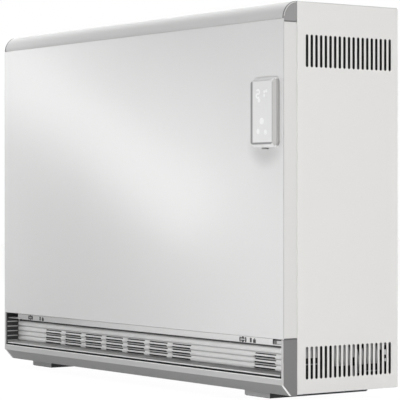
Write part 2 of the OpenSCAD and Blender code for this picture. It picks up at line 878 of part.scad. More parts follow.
module fan_bearing() {
    x0 = -duct_left - bearing_l;
    color("peru") difference() {
        union() {
            bar_x(x0, -duct_left, rotor_y, rotor_z, shaft_r + 6);
            bar_x(-duct_left - 2, -duct_left, rotor_y, rotor_z, shaft_r + 12);
        }
        bar_x(x0 - 1, -duct_left + 1, rotor_y, rotor_z, shaft_r + running);
    }
}

module fan_motor() {
    color("darkslategray") difference() {
        union() {
            bar_x(motor_x0, motor_x0 + motor_l, rotor_y, rotor_z, motor_r);
            bar_x(motor_x0 - 4, motor_x0, rotor_y, rotor_z, 12);
        }
        bar_x(motor_x0 - 5, motor_x0 + 14, rotor_y, rotor_z, shaft_r + running);
    }
}

// A cradle on the floor pan that carries the motor
module motor_bracket() {
    color("silver") difference() {
        union() {
            block(motor_x0 + 8, motor_x0 + motor_l - 8, rotor_y - 30, rotor_y + 30,
                pan_top, pan_top + 2);
            for (x = [motor_x0 + 8, motor_x0 + motor_l - 11])
                block(x, x + 3, rotor_y - 24, rotor_y + 24, pan_top, rotor_z - 10);
        }
        bar_x(motor_x0, motor_x0 + motor_l, rotor_y, rotor_z, motor_r + face_gap);
    }
}

// ---- Switch compartment ----

module terminal_block() {
    color("ivory") difference() {
        block(wall_x, wall_x + terminal_t, terminal_y - terminal_w / 2,
            terminal_y + terminal_w / 2, terminal_z - terminal_h / 2,
            terminal_z + terminal_h / 2);
        for (i = [-2 : 2])
            bar_x(wall_x + terminal_t / 2, wall_x + terminal_t + 1,
                terminal_y + i * terminal_w / 5.5, terminal_z, 3);
    }
}

module cable_grommet() {
    color([0.15, 0.15, 0.15]) difference() {
        union() {
            bar_y(back_in - 3, back_in, cable_x, cable_z, cable_r + 5);
            bar_y(back_in - 0.1, back_out, cable_x, cable_z, cable_r + 2.5 - running);
        }
        bar_y(back_in - 4, back_out + 1, cable_x, cable_z, cable_r);
    }
}

module cable_clamp() {
    color("ivory") difference() {
        block(cable_x - clamp_w / 2, cable_x + clamp_w / 2, back_in - clamp_set - clamp_d,
            back_in - clamp_set, pan_top, cable_z + cable_r + 6);
        bar_y(back_in - clamp_set - clamp_d - 1, back_in - clamp_set + 1, cable_x, cable_z,
            cable_r - 1);
    }
}

module charge_board() {
    color("seagreen") {
        block(board_x, board_x + board_t, board_y0, board_y1, board_z0, board_z1);
        for (y = [board_y0 + 8, board_y1 - 8], z = [board_z0 + 8, board_z1 - 8])
            bar_x(wall_x, board_x + 0.1, y, z, 3);
        for (y = [board_y0 + 12, board_y0 + 12 + relay_pitch])
            block(board_x + board_t, board_x + board_t + relay_t, y, y + relay_w,
                board_z0 + 30, board_z0 + 30 + relay_h);
        block(board_x + board_t, board_x + board_t + supply_t, board_y0 + 20,
            board_y0 + 20 + supply_w, board_z1 - 30 - supply_h, board_z1 - 30);
    }
}

module safety_cutout() {
    color("ivory") difference() {
        union() {
            block(wall_x, wall_x + 2, cutout_y - 18, cutout_y + 18, cutout_z - 9,
                cutout_z + 9);
            bar_x(wall_x, wall_x + cutout_l, cutout_y, cutout_z, 9);
        }
        bar_x(wall_x + 5, wall_x + cutout_l + 1, cutout_y, cutout_z, reset_r + running);
    }
}

module reset_button() {
    color("firebrick") bar_x(wall_x + 5 + reset_travel + slide_gap,
        wall_x + cutout_l + reset_travel + 1, cutout_y, cutout_z, reset_r);
}

module core_sensor() {
    color("silver") {
        bar_x(core_right + face_gap, wall_x + 1, sensor_y, sensor_z, sensor_r);
        bar_x(wall_x, wall_x + 8, sensor_y, sensor_z, sensor_r + 3);
    }
}

// Leads held along the wall: a trunk from the terminals, with a branch to each rod end
module element_leads() {
    top_leg = element_z(layer_count) + element_bend;
    color("crimson") difference() {
        union() {
            bar_z(terminal_z + terminal_h / 2, top_leg, lead_x, trunk_y, lead_r);
            for (i = [1 : layer_count], s = [-1, 1]) {
                z = element_z(i) + s * element_bend;
                bar_y(trunk_y, core_mid - element_r / 2 - 1, lead_x, z, lead_r / 2);
                bar_x(lead_x - 1, lead_x + 1, core_mid, z, element_r / 2 + 2);
            }
        }
        for (i = [1 : layer_count], s = [-1, 1])
            bar_x(wall_x, lead_x + 20, core_mid, element_z(i) + s * element_bend,
                element_r / 2 + running);
    }
}

// ---- Control unit ----

function unit_screw_z() = unit_h / 2 - 16;
unit_screw_r = 1.5;

module unit_bracket() {
    color("gainsboro") difference() {
        translate([unit_x, 0, unit_z]) along_y(front_y - bracket_t, front_y)
            round_outline(cavity_w - 2 * bracket_in, cavity_h - 4 * bracket_in, 4);
        bar_y(front_y - bracket_t - 1, front_y + 1, unit_x, unit_z, lead_hole_r + 1);
        for (s = [-1, 1])
            bar_y(front_y - bracket_t - 1, front_y + 1, unit_x,
                unit_z + s * unit_screw_z(), unit_screw_r + 0.1);
    }
}

// A block with round upright corners and a bevel round its front face
module bevelled_block(w, h, r, bevel, y0, y1, y2) {
    along_x(r - w / 2, w / 2 - r) polygon([[y0, bevel - h / 2], [y0, h / 2 - bevel],
        [y1, h / 2], [y2, h / 2], [y2, -h / 2], [y1, -h / 2]]);
    translate([0, 0, r - h / 2]) linear_extrude(h - 2 * r) polygon([
        [bevel - w / 2, y0], [w / 2 - bevel, y0], [w / 2, y1], [w / 2, y2],
        [-w / 2, y2], [-w / 2, y1]]);
    for (sx = [-1, 1], sz = [-1, 1])
        translate([sx * (w / 2 - r), 0, sz * (h / 2 - r)]) rotate([-90, 0, 0])
            rotate_extrude() polygon([[0, y0], [r - bevel, y0], [r, y1], [r, y2],
                [0, y2]]);
}

// A bevelled shell with a pocket for the glass and posts for the board
module unit_housing() {
    color("darkgray") difference() {
        translate([unit_x, 0, unit_z]) {
            difference() {
                bevelled_block(unit_w, unit_h, unit_r, unit_bevel,
                    unit_front + glass_proud, bevel_y, front_y);
                along_y(unit_front - 1, glass_y)
                    round_outline(glass_w + 2 * glass_gap, glass_h + 2 * glass_gap,
                        glass_r + glass_gap);
                along_y(shell_y, front_y + 1)
                    round_outline(cavity_w, cavity_h, unit_r - cavity_in);
            }
            for (sx = [-1, 1], sz = [-1, 1])
                bar_y(shell_y - 0.1, shell_y + board_post, sx * (cavity_w / 2 - 6),
                    sz * (cavity_h / 2 - 12), 2);
        }
        block(unit_x - tab_w / 2 - slide_gap, unit_x + tab_w / 2 + slide_gap,
            tab_y - slide_gap, tab_y + tab_d + slide_gap,
            unit_z - unit_h / 2 - 1, unit_z - cavity_h / 2 + 1);
    }
}

module unit_glass() {
    color("white") translate([unit_x, 0, unit_z])
        along_y(unit_front, glass_y) round_outline(glass_w, glass_h, glass_r);
}

module unit_board() {
    y0 = shell_y + board_post;
    color("seagreen")
        block(unit_x - cavity_w / 2 + 2, unit_x + cavity_w / 2 - 2, y0, y0 + board_t,
            unit_z - cavity_h / 2 + 4 + tab_travel, unit_z + cavity_h / 2 - 6);
}

// A tab that is pressed upwards to free the unit from its bracket
module release_tab() {
    head_z = unit_z - cavity_h / 2 + slide_gap;
    color("dimgray") {
        block(unit_x - tab_w / 2, unit_x + tab_w / 2, tab_y, tab_y + tab_d,
            unit_z - unit_h / 2 - tab_proud, head_z + 0.1);
        block(unit_x - tab_w / 2 - 2, unit_x + tab_w / 2 + 2, tab_y, tab_y + tab_d,
            head_z, head_z + tab_head);
    }
}

// Lead from the control unit's board through the front panel to the charge board
module unit_lead() {
    y0 = shell_y + board_post + board_t;
    x1 = board_x + board_t + 10;
    r = lead_hole_r / 2;
    color("crimson") {
        bar_y(y0, board_y0 - 12, unit_x, unit_z, r);
        translate([unit_x, board_y0 - 12, unit_z]) sphere(r = r);
        bar_x(x1, unit_x, board_y0 - 12, unit_z, r);
        translate([x1, board_y0 - 12, unit_z]) sphere(r = r);
        bar_y(board_y0 - 12, board_y0 + 20, x1, unit_z, r);
    }
}

// ---- Fixings ----

screw_r = 2;
screw_head_r = 4;
screw_head_h = 1.6;
function screw_xs() = [for (i = [-1, -0.5, 0, 0.5, 1]) i * (cap_in - 77)];
function screw_y() = front_y + (strip_d + rail_flange) / 2;
function wall_hole_z() = body_h - wall_hole_drop;
function rear_screw_xs() = [-(hw - flange_w / 2), hw - flange_w / 2];
function rear_screw_zs() = [for (f = [0.12, 0.37, 0.63, 0.88]) f * body_h];

// Pan-head screws that hold the rail and rear panel, and the two behind the control unit
module case_screws() {
    color("silver") {
        for (x = screw_xs()) {
            bar_z(base_z - screw_head_h, base_z, x, screw_y(), screw_head_r);
            bar_z(base_z - 0.1, pan_top + 1, x, screw_y(), screw_r - running);
        }
        for (x = rear_screw_xs(), z = rear_screw_zs()) {
            bar_y(back_out, back_out + screw_head_h, x, z, screw_head_r);
            bar_y(back_in - sheet_t - 3, back_out + 0.1, x, z, screw_r - running);
        }
        for (s = [-1, 1]) {
            bar_y(front_y - bracket_t - 1.2, front_y - bracket_t, unit_x,
                unit_z + s * unit_screw_z(), 3);
            bar_y(front_y - bracket_t - 0.1, front_y + front_t + 3, unit_x,
                unit_z + s * unit_screw_z(), unit_screw_r + 0.1 - running);
        }
    }
}

floor_pan();
foot(-left_foot_x);  // left_foot
foot(right_foot_x);  // right_foot
foot_pad(-left_foot_x);  // left_foot_pad
foot_pad(right_foot_x);  // right_foot_pad
rear_panel();
side_panel(-1);  // left_side_panel
side_panel(1);  // right_side_panel
top_cover();
front_panel();
front_post(-1);  // left_front_post
front_post(1);  // right_front_post
top_cap(-1);  // top_left_cap
top_cap(1);  // top_right_cap
bottom_cap(-1);  // bottom_left_cap
bottom_cap(1);  // bottom_right_cap
bottom_rail();
outlet_grille();
lint_filter();
latch(-left_latch_x);  // left_latch
latch(right_latch_x);  // right_latch
core_shelf();
inner_front_panel();
compartment_wall();
base_insulation();
front_insulation();
rear_insulation();
left_insulation();
right_insulation();
top_insulation();
bricks_layer(1);  // bricks_layer_1
bricks_layer(2);  // bricks_layer_2
bricks_layer(3);  // bricks_layer_3
bricks_layer(4);  // bricks_layer_4
heating_element(1);  // heating_element_1
heating_element(2);  // heating_element_2
heating_element(3);  // heating_element_3
heating_element(4);  // heating_element_4
air_duct();
mixing_flap();
flap_motor();
fan_rotor();
fan_bearing();
fan_motor();
motor_bracket();
terminal_block();
cable_grommet();
cable_clamp();
charge_board();
safety_cutout();
reset_button();
core_sensor();
element_leads();
unit_lead();
unit_bracket();
unit_housing();
unit_board();
unit_glass();
release_tab();
case_screws();
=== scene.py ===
"""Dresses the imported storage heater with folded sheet, moulded trim, finishes and a pale studio."""
import json
import math
import bmesh
import bpy
import numpy as np
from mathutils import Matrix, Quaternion, Vector
from bpy.props import FloatProperty, FloatVectorProperty, IntProperty, PointerProperty
from bpy.types import Operator, Panel, PropertyGroup


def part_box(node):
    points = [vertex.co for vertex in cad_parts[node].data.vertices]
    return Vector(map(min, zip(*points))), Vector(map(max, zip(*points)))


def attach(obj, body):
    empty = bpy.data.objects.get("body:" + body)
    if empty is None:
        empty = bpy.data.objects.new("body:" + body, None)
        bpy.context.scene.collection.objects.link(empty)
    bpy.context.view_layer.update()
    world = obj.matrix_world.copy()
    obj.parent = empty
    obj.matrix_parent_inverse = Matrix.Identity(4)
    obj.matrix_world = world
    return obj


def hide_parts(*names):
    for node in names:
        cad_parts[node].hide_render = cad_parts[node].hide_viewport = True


bl_info = {
    "name": "Storage Heater",
    "version": (1, 0, 0),
    "blender": (4, 5, 0),
    "location": "View3D > Sidebar > Heater",
    "description": "Builds the pieces, finishes and studio of a fan storage heater",
    "category": "Object",
}

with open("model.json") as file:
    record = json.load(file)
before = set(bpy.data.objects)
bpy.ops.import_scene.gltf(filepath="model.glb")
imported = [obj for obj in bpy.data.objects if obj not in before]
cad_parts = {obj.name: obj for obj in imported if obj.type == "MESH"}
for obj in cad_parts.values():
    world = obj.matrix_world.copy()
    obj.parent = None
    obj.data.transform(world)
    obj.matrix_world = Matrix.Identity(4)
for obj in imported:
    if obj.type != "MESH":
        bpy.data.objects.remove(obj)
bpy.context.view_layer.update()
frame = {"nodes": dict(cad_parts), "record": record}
MM = 0.001
WELD = 2e-6
LEAST_RADIUS = 0.3 * MM
SPREAD = {"X": (1, 2, 0), "Y": (0, 2, 1), "Z": (0, 1, 2)}


# ---- Where things are ----

def corners(node):
    """Lowest and highest corner of a CAD node as arrays, in metres."""
    low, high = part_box(node)
    return np.array(low), np.array(high)


def mirrored(values, side):
    """The same X places on the left when side is -1, still from low to high."""
    return sorted(side * v for v in values)


# ---- Outlines ----

def arc(start, end, count, wide=1.0, high=None):
    """Points (wide * cos, high * sin) about 0, from one angle to another."""
    a = np.linspace(start, end, count)
    return np.stack([wide * np.cos(a), (wide if high is None else high) * np.sin(a)], 1)


def folded(points, steps=5):
    """Open or closed line of (a, b, r) corners, each turned into an arc of radius r.

    An arc runs from p + t*d1 to p + t*d2, where d1 and d2 point to the neighbours and t is
    r / tan(half the corner), about a centre on the corner's bisector.
    """
    pts = np.array([p[:2] for p in points], float)
    line = []
    for i, p in enumerate(points):
        radius = p[2] if len(p) > 2 else 0.0
        if radius <= 0 or i in (0, len(points) - 1):
            line.append(pts[i][None])
            continue
        to_last = pts[i - 1] - pts[i]
        to_next = pts[i + 1] - pts[i]
        d1, d2 = to_last / np.linalg.norm(to_last), to_next / np.linalg.norm(to_next)
        half = math.acos(np.clip(d1 @ d2, -1, 1)) / 2
        t = min(radius / math.tan(half), 0.49 * np.linalg.norm(to_last),
                0.49 * np.linalg.norm(to_next))
        radius = t * math.tan(half)
        centre = pts[i] + (d1 + d2) / np.linalg.norm(d1 + d2) * radius / math.sin(half)
        start, end = pts[i] + d1 * t - centre, pts[i] + d2 * t - centre
        turn = math.atan2(start[0] * end[1] - start[1] * end[0], start @ end)
        a = np.linspace(0, turn, steps + 1)
        line.append(centre + np.stack([start[0] * np.cos(a) - start[1] * np.sin(a),
                                       start[0] * np.sin(a) + start[1] * np.cos(a)], 1))
    return np.concatenate(line)


def ringed(points, steps=5):
    """Closed outline with rounded corners: the open line is started midway along a side."""
    first, last = np.array(points[0][:2], float), np.array(points[-1][:2], float)
    middle = tuple((first + last) / 2)
    return folded([middle, *points, middle], steps)[:-1]


def rounded_frame(width, height, radius, inset=0.0, steps=6):
    """Rounded rectangle about 0, drawn inwards by inset: four arcs of 90 degrees."""
    r = max(radius - inset, LEAST_RADIUS)
    arcs = []
    for turn, way in ((0.0, (1, 1)), (0.5, (-1, 1)), (1.0, (-1, -1)), (1.5, (1, -1))):
        centre = np.array([width / 2 - inset - r, height / 2 - inset - r]) * way
        arcs.append(centre + arc(turn * math.pi, (turn + 0.5) * math.pi, steps + 1, r))
    return np.concatenate(arcs)


def banana(outer, inner):
    """Closed outline between two arcs that run the same way."""
    return np.concatenate([outer, inner[::-1]])


# ---- Surfaces ----

def placed(a, b, t, axis):
    """Points with a and b across the axis and t along it, spread onto X, Y and Z."""
    a, b, t = np.broadcast_arrays(a, b, t)
    out = np.empty(a.shape + (3,))
    for values, where in zip((a, b, t), SPREAD[axis]):
        out[..., where] = values
    return out


def net(points, keep=None, round_rows=False, round_cols=False):
    """Quads over a grid of points (rows, cols, 3). keep masks quads; a round way closes."""
    rows, cols = points.shape[:2]
    i = np.arange(rows if round_rows else rows - 1)
    j = np.arange(cols if round_cols else cols - 1)
    i, j = np.meshgrid(i, j, indexing="ij")
    i1, j1 = (i + 1) % rows, (j + 1) % cols
    quads = np.stack([i * cols + j, i1 * cols + j, i1 * cols + j1, i * cols + j1], -1)
    if keep is not None:
        quads = quads[keep]
    return points.reshape(-1, 3), quads.reshape(-1, 4).tolist()


def bar(outline, low, high, axis):
    """Closed solid: an outline carried along an axis from low to high, with flat ends."""
    n = len(outline)
    points = placed(outline[None, :, 0], outline[None, :, 1], np.array([low, high])[:, None], axis)
    verts, faces = net(points, round_cols=True)
    return verts, faces + [list(range(n)), list(range(2 * n - 1, n - 1, -1))]


def side_bar(outline, near, far, side):
    """A bar along X between two places on the right, or its mirror image on the left."""
    return bar(outline, *mirrored((near, far), side), "X")


def block(x0, x1, y0, y1, z0, z1):
    """Closed box, drawn as a rectangle carried along Y."""
    return bar(np.array([(x0, z0), (x1, z0), (x1, z1), (x0, z1)]), y0, y1, "Y")


def turned(profile, centre, axis, steps=40):
    """Closed solid of revolution: (radius, height) points swept by an angle about an axis.

    The place is centre + radius * (cos, sin) across the axis and height along it.
    """
    a = np.linspace(0, 2 * math.pi, steps, endpoint=False)
    profile = np.asarray(profile, float)
    r, h = profile[:, 0][:, None], profile[:, 1][:, None]
    i, j, k = SPREAD[axis]
    c = np.asarray(centre, float)
    points = placed(c[i] + r * np.cos(a), c[j] + r * np.sin(a), c[k] + h, axis)
    return net(points, round_cols=True)


def sheet_line(line, stops, axis, keep=None):
    """Open sheet: a folded line carried along an axis through the stops. keep masks quads."""
    points = placed(line[:, 0][:, None], line[:, 1][:, None], np.asarray(stops)[None], axis)
    return net(points, keep)


def inward(line, thick):
    """Where each point of a folded line ends up when its wall is thick: the line's own
    direction turned a quarter, averaged over both neighbours and lengthened at corners."""
    along = np.diff(line, axis=0)
    along /= np.linalg.norm(along, axis=1)[:, None]
    turned_way = np.stack([-along[:, 1], along[:, 0]], 1)
    first = np.concatenate([turned_way[:1], turned_way])
    last = np.concatenate([turned_way, turned_way[-1:]])
    middle = first + last
    middle /= np.linalg.norm(middle, axis=1)[:, None]
    reach = np.clip((middle * first).sum(1), 0.6, 1)
    return line + middle * (np.asarray(thick) / reach)[:, None]


def walled(outer, inner, keep):
    """Closed wall between two grids of the same size, with a rim round every opening.

    A rim quad joins the two grids along each edge that belongs to just one kept quad.
    """
    verts, faces = net(outer, keep)
    count = len(verts)
    quads = np.array(faces)
    edges = np.stack([quads, np.roll(quads, -1, 1)], -1).reshape(-1, 2)
    key = np.sort(edges, 1)
    code = key[:, 0] * count + key[:, 1]
    _, where, uses = np.unique(code, return_index=True, return_counts=True)
    rim = edges[where[uses == 1]]
    rim = np.stack([rim[:, 1], rim[:, 0], rim[:, 0] + count, rim[:, 1] + count], 1)
    every = np.concatenate([quads, quads[:, ::-1] + count, rim])
    return np.concatenate([verts, inner.reshape(-1, 3)]), every.tolist()


def slotted(line, s_slots, t_low, t_high, rows, half_w, half_run, axis):
    """Sheet with rows of upright round-ended slots, on a folded line.

    Each slot has a cell, half a pitch to either side and half way to the next row. Rays from
    the two arc centres cross the slot's edge at radius half_w and the cell's border, and
    quads join the two. s_slots are lengths along the line; the rest of the line is a net.
    """
    steps = np.linalg.norm(np.diff(line, axis=0), axis=1)
    s_line = np.concatenate([[0], np.cumsum(steps)])
    pitch = s_slots[1] - s_slots[0]
    edges = [t_low] + [(a + b) / 2 for a, b in zip(rows, rows[1:])] + [t_high]
    parts, side_t = [], []
    for row, (low, high) in zip(rows, zip(edges, edges[1:])):
        ring, border = [], []
        for way, reach in ((1, high - row - half_run), (-1, row - half_run - low)):
            corner = math.atan2(reach, pitch / 2)
            a = np.concatenate([np.linspace(0, corner, 5), [math.pi / 2],
                                math.pi - np.linspace(corner, 0, 5)])
            c, s = np.cos(a), np.sin(a)
            far = np.minimum(pitch / 2 / np.maximum(np.abs(c), 1e-9), reach / np.maximum(s, 1e-9))
            for radius, into in ((half_w, ring), (far, border)):
                into.append(np.stack([way * radius * c, way * (half_run + radius * s)], 1))
        ring, border = np.concatenate(ring), np.concatenate(border)
        side_t.append(row + border[np.abs(border[:, 0] - pitch / 2) < 1e-7][:, 1])
        cell = np.stack([ring, border])
        for s0 in s_slots:
            parts.append((cell + np.array([s0, row])).reshape(2, -1, 2))
    side_t = np.unique(np.round(np.concatenate(side_t + [np.array(edges)]), 7))

    def lift(st):
        """From length along the line and place along the axis to space."""
        a = np.interp(st[..., 0], s_line, line[:, 0])
        b = np.interp(st[..., 0], s_line, line[:, 1])
        return placed(a, b, st[..., 1], axis)

    pieces = [net(lift(cell)[::-1], round_cols=True) for cell in parts]
    left, right = s_slots[0] - pitch / 2, s_slots[-1] + pitch / 2
    for low, high in ((0, left), (right, s_line[-1])):
        s = np.concatenate([[low], s_line[(s_line > low) & (s_line < high)], [high]])
        pieces.append(net(lift(np.stack(np.meshgrid(s, side_t, indexing="ij"), -1))))
    return pieces


class Columns:
    """An array of places or directions, taken apart into x, y and z."""

    def __init__(self, rows):
        self.x, self.y, self.z = rows.T


def piece(name, parts, finish, replaces=(), slot=None, body="case", outside=None, thick=0.0,
          edge=0.0, segments=2, angle=40, rim=None):
    """Joins parts into one named object, closes its doubles and turns its faces outwards.

    The slot argument is not used. A sheet is given the direction it looks to (outside), its
    thickness inwards and the finish of its rim; a solid's faces are turned outwards by
    themselves. Edges sharper than angle are rounded by edge.
    """
    verts, faces, start = [], [], 0
    for points, quads in parts:
        verts.append(points)
        faces += [[v + start for v in quad] for quad in quads]
        start += len(points)
    mesh = bpy.data.meshes.new(name)
    mesh.from_pydata(np.concatenate(verts).tolist(), [], faces)
    work = bmesh.new()
    work.from_mesh(mesh)
    bmesh.ops.remove_doubles(work, verts=work.verts, dist=WELD)
    bmesh.ops.dissolve_degenerate(work, edges=work.edges, dist=WELD / 20)
    bmesh.ops.recalc_face_normals(work, faces=work.faces)
    if outside is not None:
        total = np.sum([np.array(f.normal) * f.calc_area() for f in work.faces], axis=0)
        if total @ np.array(outside, float) < 0:
            bmesh.ops.reverse_faces(work, faces=work.faces)
    work.to_mesh(mesh)
    work.free()
    mesh.shade_smooth()
    thing = bpy.data.objects.new(name, mesh)
    bpy.context.scene.collection.objects.link(thing)
    mesh.materials.append(FINISH[finish])
    if thick:
        wall = thing.modifiers.new("Sheet", "SOLIDIFY")
        wall.thickness, wall.offset, wall.use_even_offset = thick, -1, True
        if rim:
            mesh.materials.append(FINISH[rim])
            wall.material_offset_rim = 1
    if edge:
        round_off = thing.modifiers.new("Edges", "BEVEL")
        round_off.width, round_off.segments, round_off.limit_method = edge, segments, "ANGLE"
        round_off.angle_limit, round_off.use_clamp_overlap = math.radians(angle), True
    flat = thing.modifiers.new("Flat faces", "WEIGHTED_NORMAL")
    flat.weight, flat.keep_sharp = 80, True
    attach(thing, body)
    if replaces:
        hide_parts(*replaces)
    slot = slot or finish
    return thing


def refinished(thing, finish, chosen):
    """Another finish on the faces that the test picks by their middles and directions."""
    faces, given = thing.data.polygons, []
    for what in ("center", "normal"):
        values = np.empty(len(faces) * 3)
        faces.foreach_get(what, values)
        given.append(Columns(values.reshape(-1, 3)))
    index = np.empty(len(faces), np.int32)
    faces.foreach_get("material_index", index)
    index[chosen(*given)] = len(thing.data.materials)
    thing.data.materials.append(FINISH[finish])
    faces.foreach_set("material_index", index)


# ---- Finishes ----

DUST_COLOUR = (0.62, 0.6, 0.57)
SPECK_COLOUR = (0.34, 0.27, 0.2)
SOLDER_COLOUR = (0.5, 0.48, 0.44)
GLASS_SHADE_GREY = (0.29, 0.29, 0.29)
FINISH = {}


def feed(made, **inputs):
    """Gives a shader node its inputs: values, or wires from a socket or a node's first output.

    An input goes by its label with _ for each space, or by _ and its number.
    """
    for key, value in inputs.items():
        socket = made.inputs[int(key[1:]) if key[1:].isdigit() else key.replace("_", " ")]
        if isinstance(value, bpy.types.Node):
            value = value.outputs[0]
        if isinstance(value, bpy.types.NodeSocket):
            made.id_data.links.new(value, socket)
        else:
            socket.default_value = value
    return made


def node(tree, kind, settings=(), **inputs):
    """Adds a shader node with its settings and its inputs."""
    made = tree.nodes.new("ShaderNode" + kind)
    for key, value in dict(settings).items():
        setattr(made, key, value)
    return feed(made, **inputs)


def sums(tree, operation, *values, kind="Math"):
    """Adds a maths node for one or two values or vectors."""
    return node(tree, kind, {"operation": operation},
                **{"_%d" % i: value for i, value in enumerate(values)})


def ranged(tree, value, low=0.0, high=1.0, start=0.0, end=1.0, way="LINEAR"):
    """Maps a value that goes from start to end onto low to high."""
    return node(tree, "MapRange", {"interpolation_type": way}, Value=value, From_Min=start,
                From_Max=end, To_Min=low, To_Max=high)


def noise(tree, place, scale, detail=2.0, rough=0.5, twist=0.0):
    """Adds a noise texture with this many lumps per metre."""
    return node(tree, "TexNoise", Vector=place, Scale=scale, Detail=detail, Roughness=rough,
                Distortion=twist)


def bumps(tree, height, strength, mm):
    """Turns a height into normals, for bumps of this many millimetres."""
    return node(tree, "Bump", Height=height, Strength=strength, Distance=mm * MM)


def grain_effect(tree, given):
    """Coating grain: fine noise for the surface's height and broad noise for its patches."""
    return {"Height": noise(tree, given["Place"], given["Grain"], 2.0, 0.55),
            "Patches": noise(tree, given["Place"], given["Patch"], 3.0, 0.6)}


def dust_effect(tree, given):
    """Settled dust: more on faces that look up, broken up by noise."""
    normal = node(tree, "NewGeometry").outputs["Normal"]
    up = ranged(tree, coordinate(tree, normal, "Z"), start=0.2)
    specks = noise(tree, given["Place"], 240.0, 4.0)
    return {"Dust": sums(tree, "MULTIPLY", sums(tree, "MULTIPLY", up, specks), given["Amount"])}


EFFECTS = {
    "Coating grain": (grain_effect, {"Place": None, "Grain": 900.0, "Patch": 6.0},
                      ("Height", "Patches")),
    "Settled dust": (dust_effect, {"Place": None, "Amount": 0.2}, ("Dust",)),
}


def effect(tree, name, **inputs):
    """Adds a node for one of the effects. Its node group is made when it is first needed."""
    group = bpy.data.node_groups.get(name)
    if group is None:
        fill, given, results = EFFECTS[name]
        group = bpy.data.node_groups.new(name, "ShaderNodeTree")
        for label, value in given.items():
            kind = "NodeSocketVector" if value is None else "NodeSocketFloat"
            socket = group.interface.new_socket(label, in_out="INPUT", socket_type=kind)
            if value is not None:
                socket.default_value = value
        for label in results:
            group.interface.new_socket(label, in_out="OUTPUT", socket_type="NodeSocketFloat")
        start, end = (group.nodes.new("NodeGroup" + way) for way in ("Input", "Output"))
        feed(end, **fill(group, start.outputs))
    return node(tree, "Group", {"node_tree": group}, **inputs)


def coordinate(tree, place, axis):
    """One coordinate of a place or a direction."""
    return node(tree, "SeparateXYZ", Vector=place).outputs[axis]


def started(name):
    """A new material with its tree, its Principled shader and the object's coordinates."""
    material = bpy.data.materials.new(name)
    material.use_nodes = True
    tree = material.node_tree
    return (material, tree, tree.nodes["Principled BSDF"], node(tree, "TexCoord").outputs["Object"])


def shade(colour, factor):
    """The same colour, lighter or darker."""
    return tuple(min(1.0, c * factor) for c in colour)


def two_colours(tree, factor, first, second):
    """Mix of two colours, each a socket or a value, by a mask."""
    ends = [c if isinstance(c, bpy.types.NodeSocket) else (*c, 1.0) for c in (first, second)]
    return node(tree, "Mix", {"data_type": "RGBA"}, Factor=factor, _6=ends[0],
                _7=ends[1]).outputs[2]


def toned(tree, factor, colour, low, high):
    """One colour that a mask takes from one shade to another."""
    return two_colours(tree, factor, shade(colour, low), shade(colour, high))


def coated(name, colour, rough=0.4, spread=0.06, patch=0.02, grain=900.0, depth=0.02,
           dust=0.1, level=0.5, metallic=0.0, coat=0.0):
    """Powder coat, paint, moulded plastic or rubber: grain, patches and settled dust.

    A single number is a grey. grain is in bumps per metre and depth in millimetres.
    """
    colour = (colour,) * 3 if isinstance(colour, float) else colour
    material, tree, shader, place = started(name)
    grained = effect(tree, "Coating grain", Place=place, Grain=grain)
    patches = grained.outputs["Patches"]
    dusty = effect(tree, "Settled dust", Place=place, Amount=dust)
    tone = toned(tree, patches, colour, 1 - patch, 1 + patch)
    feed(shader, Base_Color=two_colours(tree, dusty, tone, DUST_COLOUR),
         Roughness=ranged(tree, patches, rough - spread, rough + spread),
         Normal=bumps(tree, grained.outputs["Height"], 0.6, depth), Metallic=metallic,
         Coat_Weight=coat, Coat_Roughness=0.12, Specular_IOR_Level=level)
    return material


def recoloured(material, colour, mask):
    """Turns a finish into another colour where a mask says so: mask(tree, place) makes it."""
    tree = material.node_tree
    shader = tree.nodes["Principled BSDF"]
    place = node(tree, "TexCoord").outputs["Object"]
    first = shader.inputs["Base Color"].links[0].from_socket
    feed(shader, Base_Color=two_colours(tree, mask(tree, place), first, colour))


def outside_mask(tree, place, axis, low, high, soft):
    """1 where a place lies outside low to high on an axis, over a border softened by soft."""
    middle, reach = (low + high) / 2, (high - low) / 2
    away = sums(tree, "SUBTRACT", coordinate(tree, place, axis), middle)
    return ranged(tree, sums(tree, "ABSOLUTE", away), start=reach - soft, end=reach + soft)


def banded(material, colour, middle, reach):
    """Turns a finish into another colour further than reach from the middle X."""
    recoloured(material, colour, lambda tree, place: outside_mask(
        tree, place, "X", middle - reach, middle + reach, 0.5 * MM))


def faded(material, colour, axis, start, end):
    """Turns a finish slowly into another colour between two places on an axis."""
    recoloured(material, colour, lambda tree, place: ranged(
        tree, coordinate(tree, place, axis), start=start, end=end, way="SMOOTHSTEP"))


def painted_shade_ellipse(material, colour, x, z, wide, high):
    """Turns a finish softly into another colour in an ellipse this wide and high: painted shade where
    that colour is darker.
    """
    def mask(tree, place):
        """1 in the ellipse's heart, from the length of the place scaled to a unit circle."""
        away = sums(tree, "SUBTRACT", place, (x, 0.0, z), kind="VectorMath")
        away = sums(tree, "MULTIPLY", away, (1 / wide, 0.0, 1 / high), kind="VectorMath")
        far = sums(tree, "LENGTH", away, kind="VectorMath").outputs["Value"]
        return ranged(tree, far, start=1.0, end=0.3, way="SMOOTHSTEP")

    recoloured(material, colour, mask)


def galvanised(name, colour):
    """Zinc-coated steel: large crystal cells of slightly different grey and gloss."""
    material, tree, shader, place = started(name)
    cells = node(tree, "TexVoronoi", Vector=place, Scale=85.0).outputs["Color"]
    grey = node(tree, "SeparateColor", Color=cells)
    grained = effect(tree, "Coating grain", Place=place, Grain=1400.0)
    feed(shader, Base_Color=toned(tree, grey, colour, 0.78, 1.1),
         Roughness=ranged(tree, grey.outputs[1], 0.3, 0.52),
         Normal=bumps(tree, grained.outputs["Height"], 0.4, 0.03), Metallic=0.85)
    return material


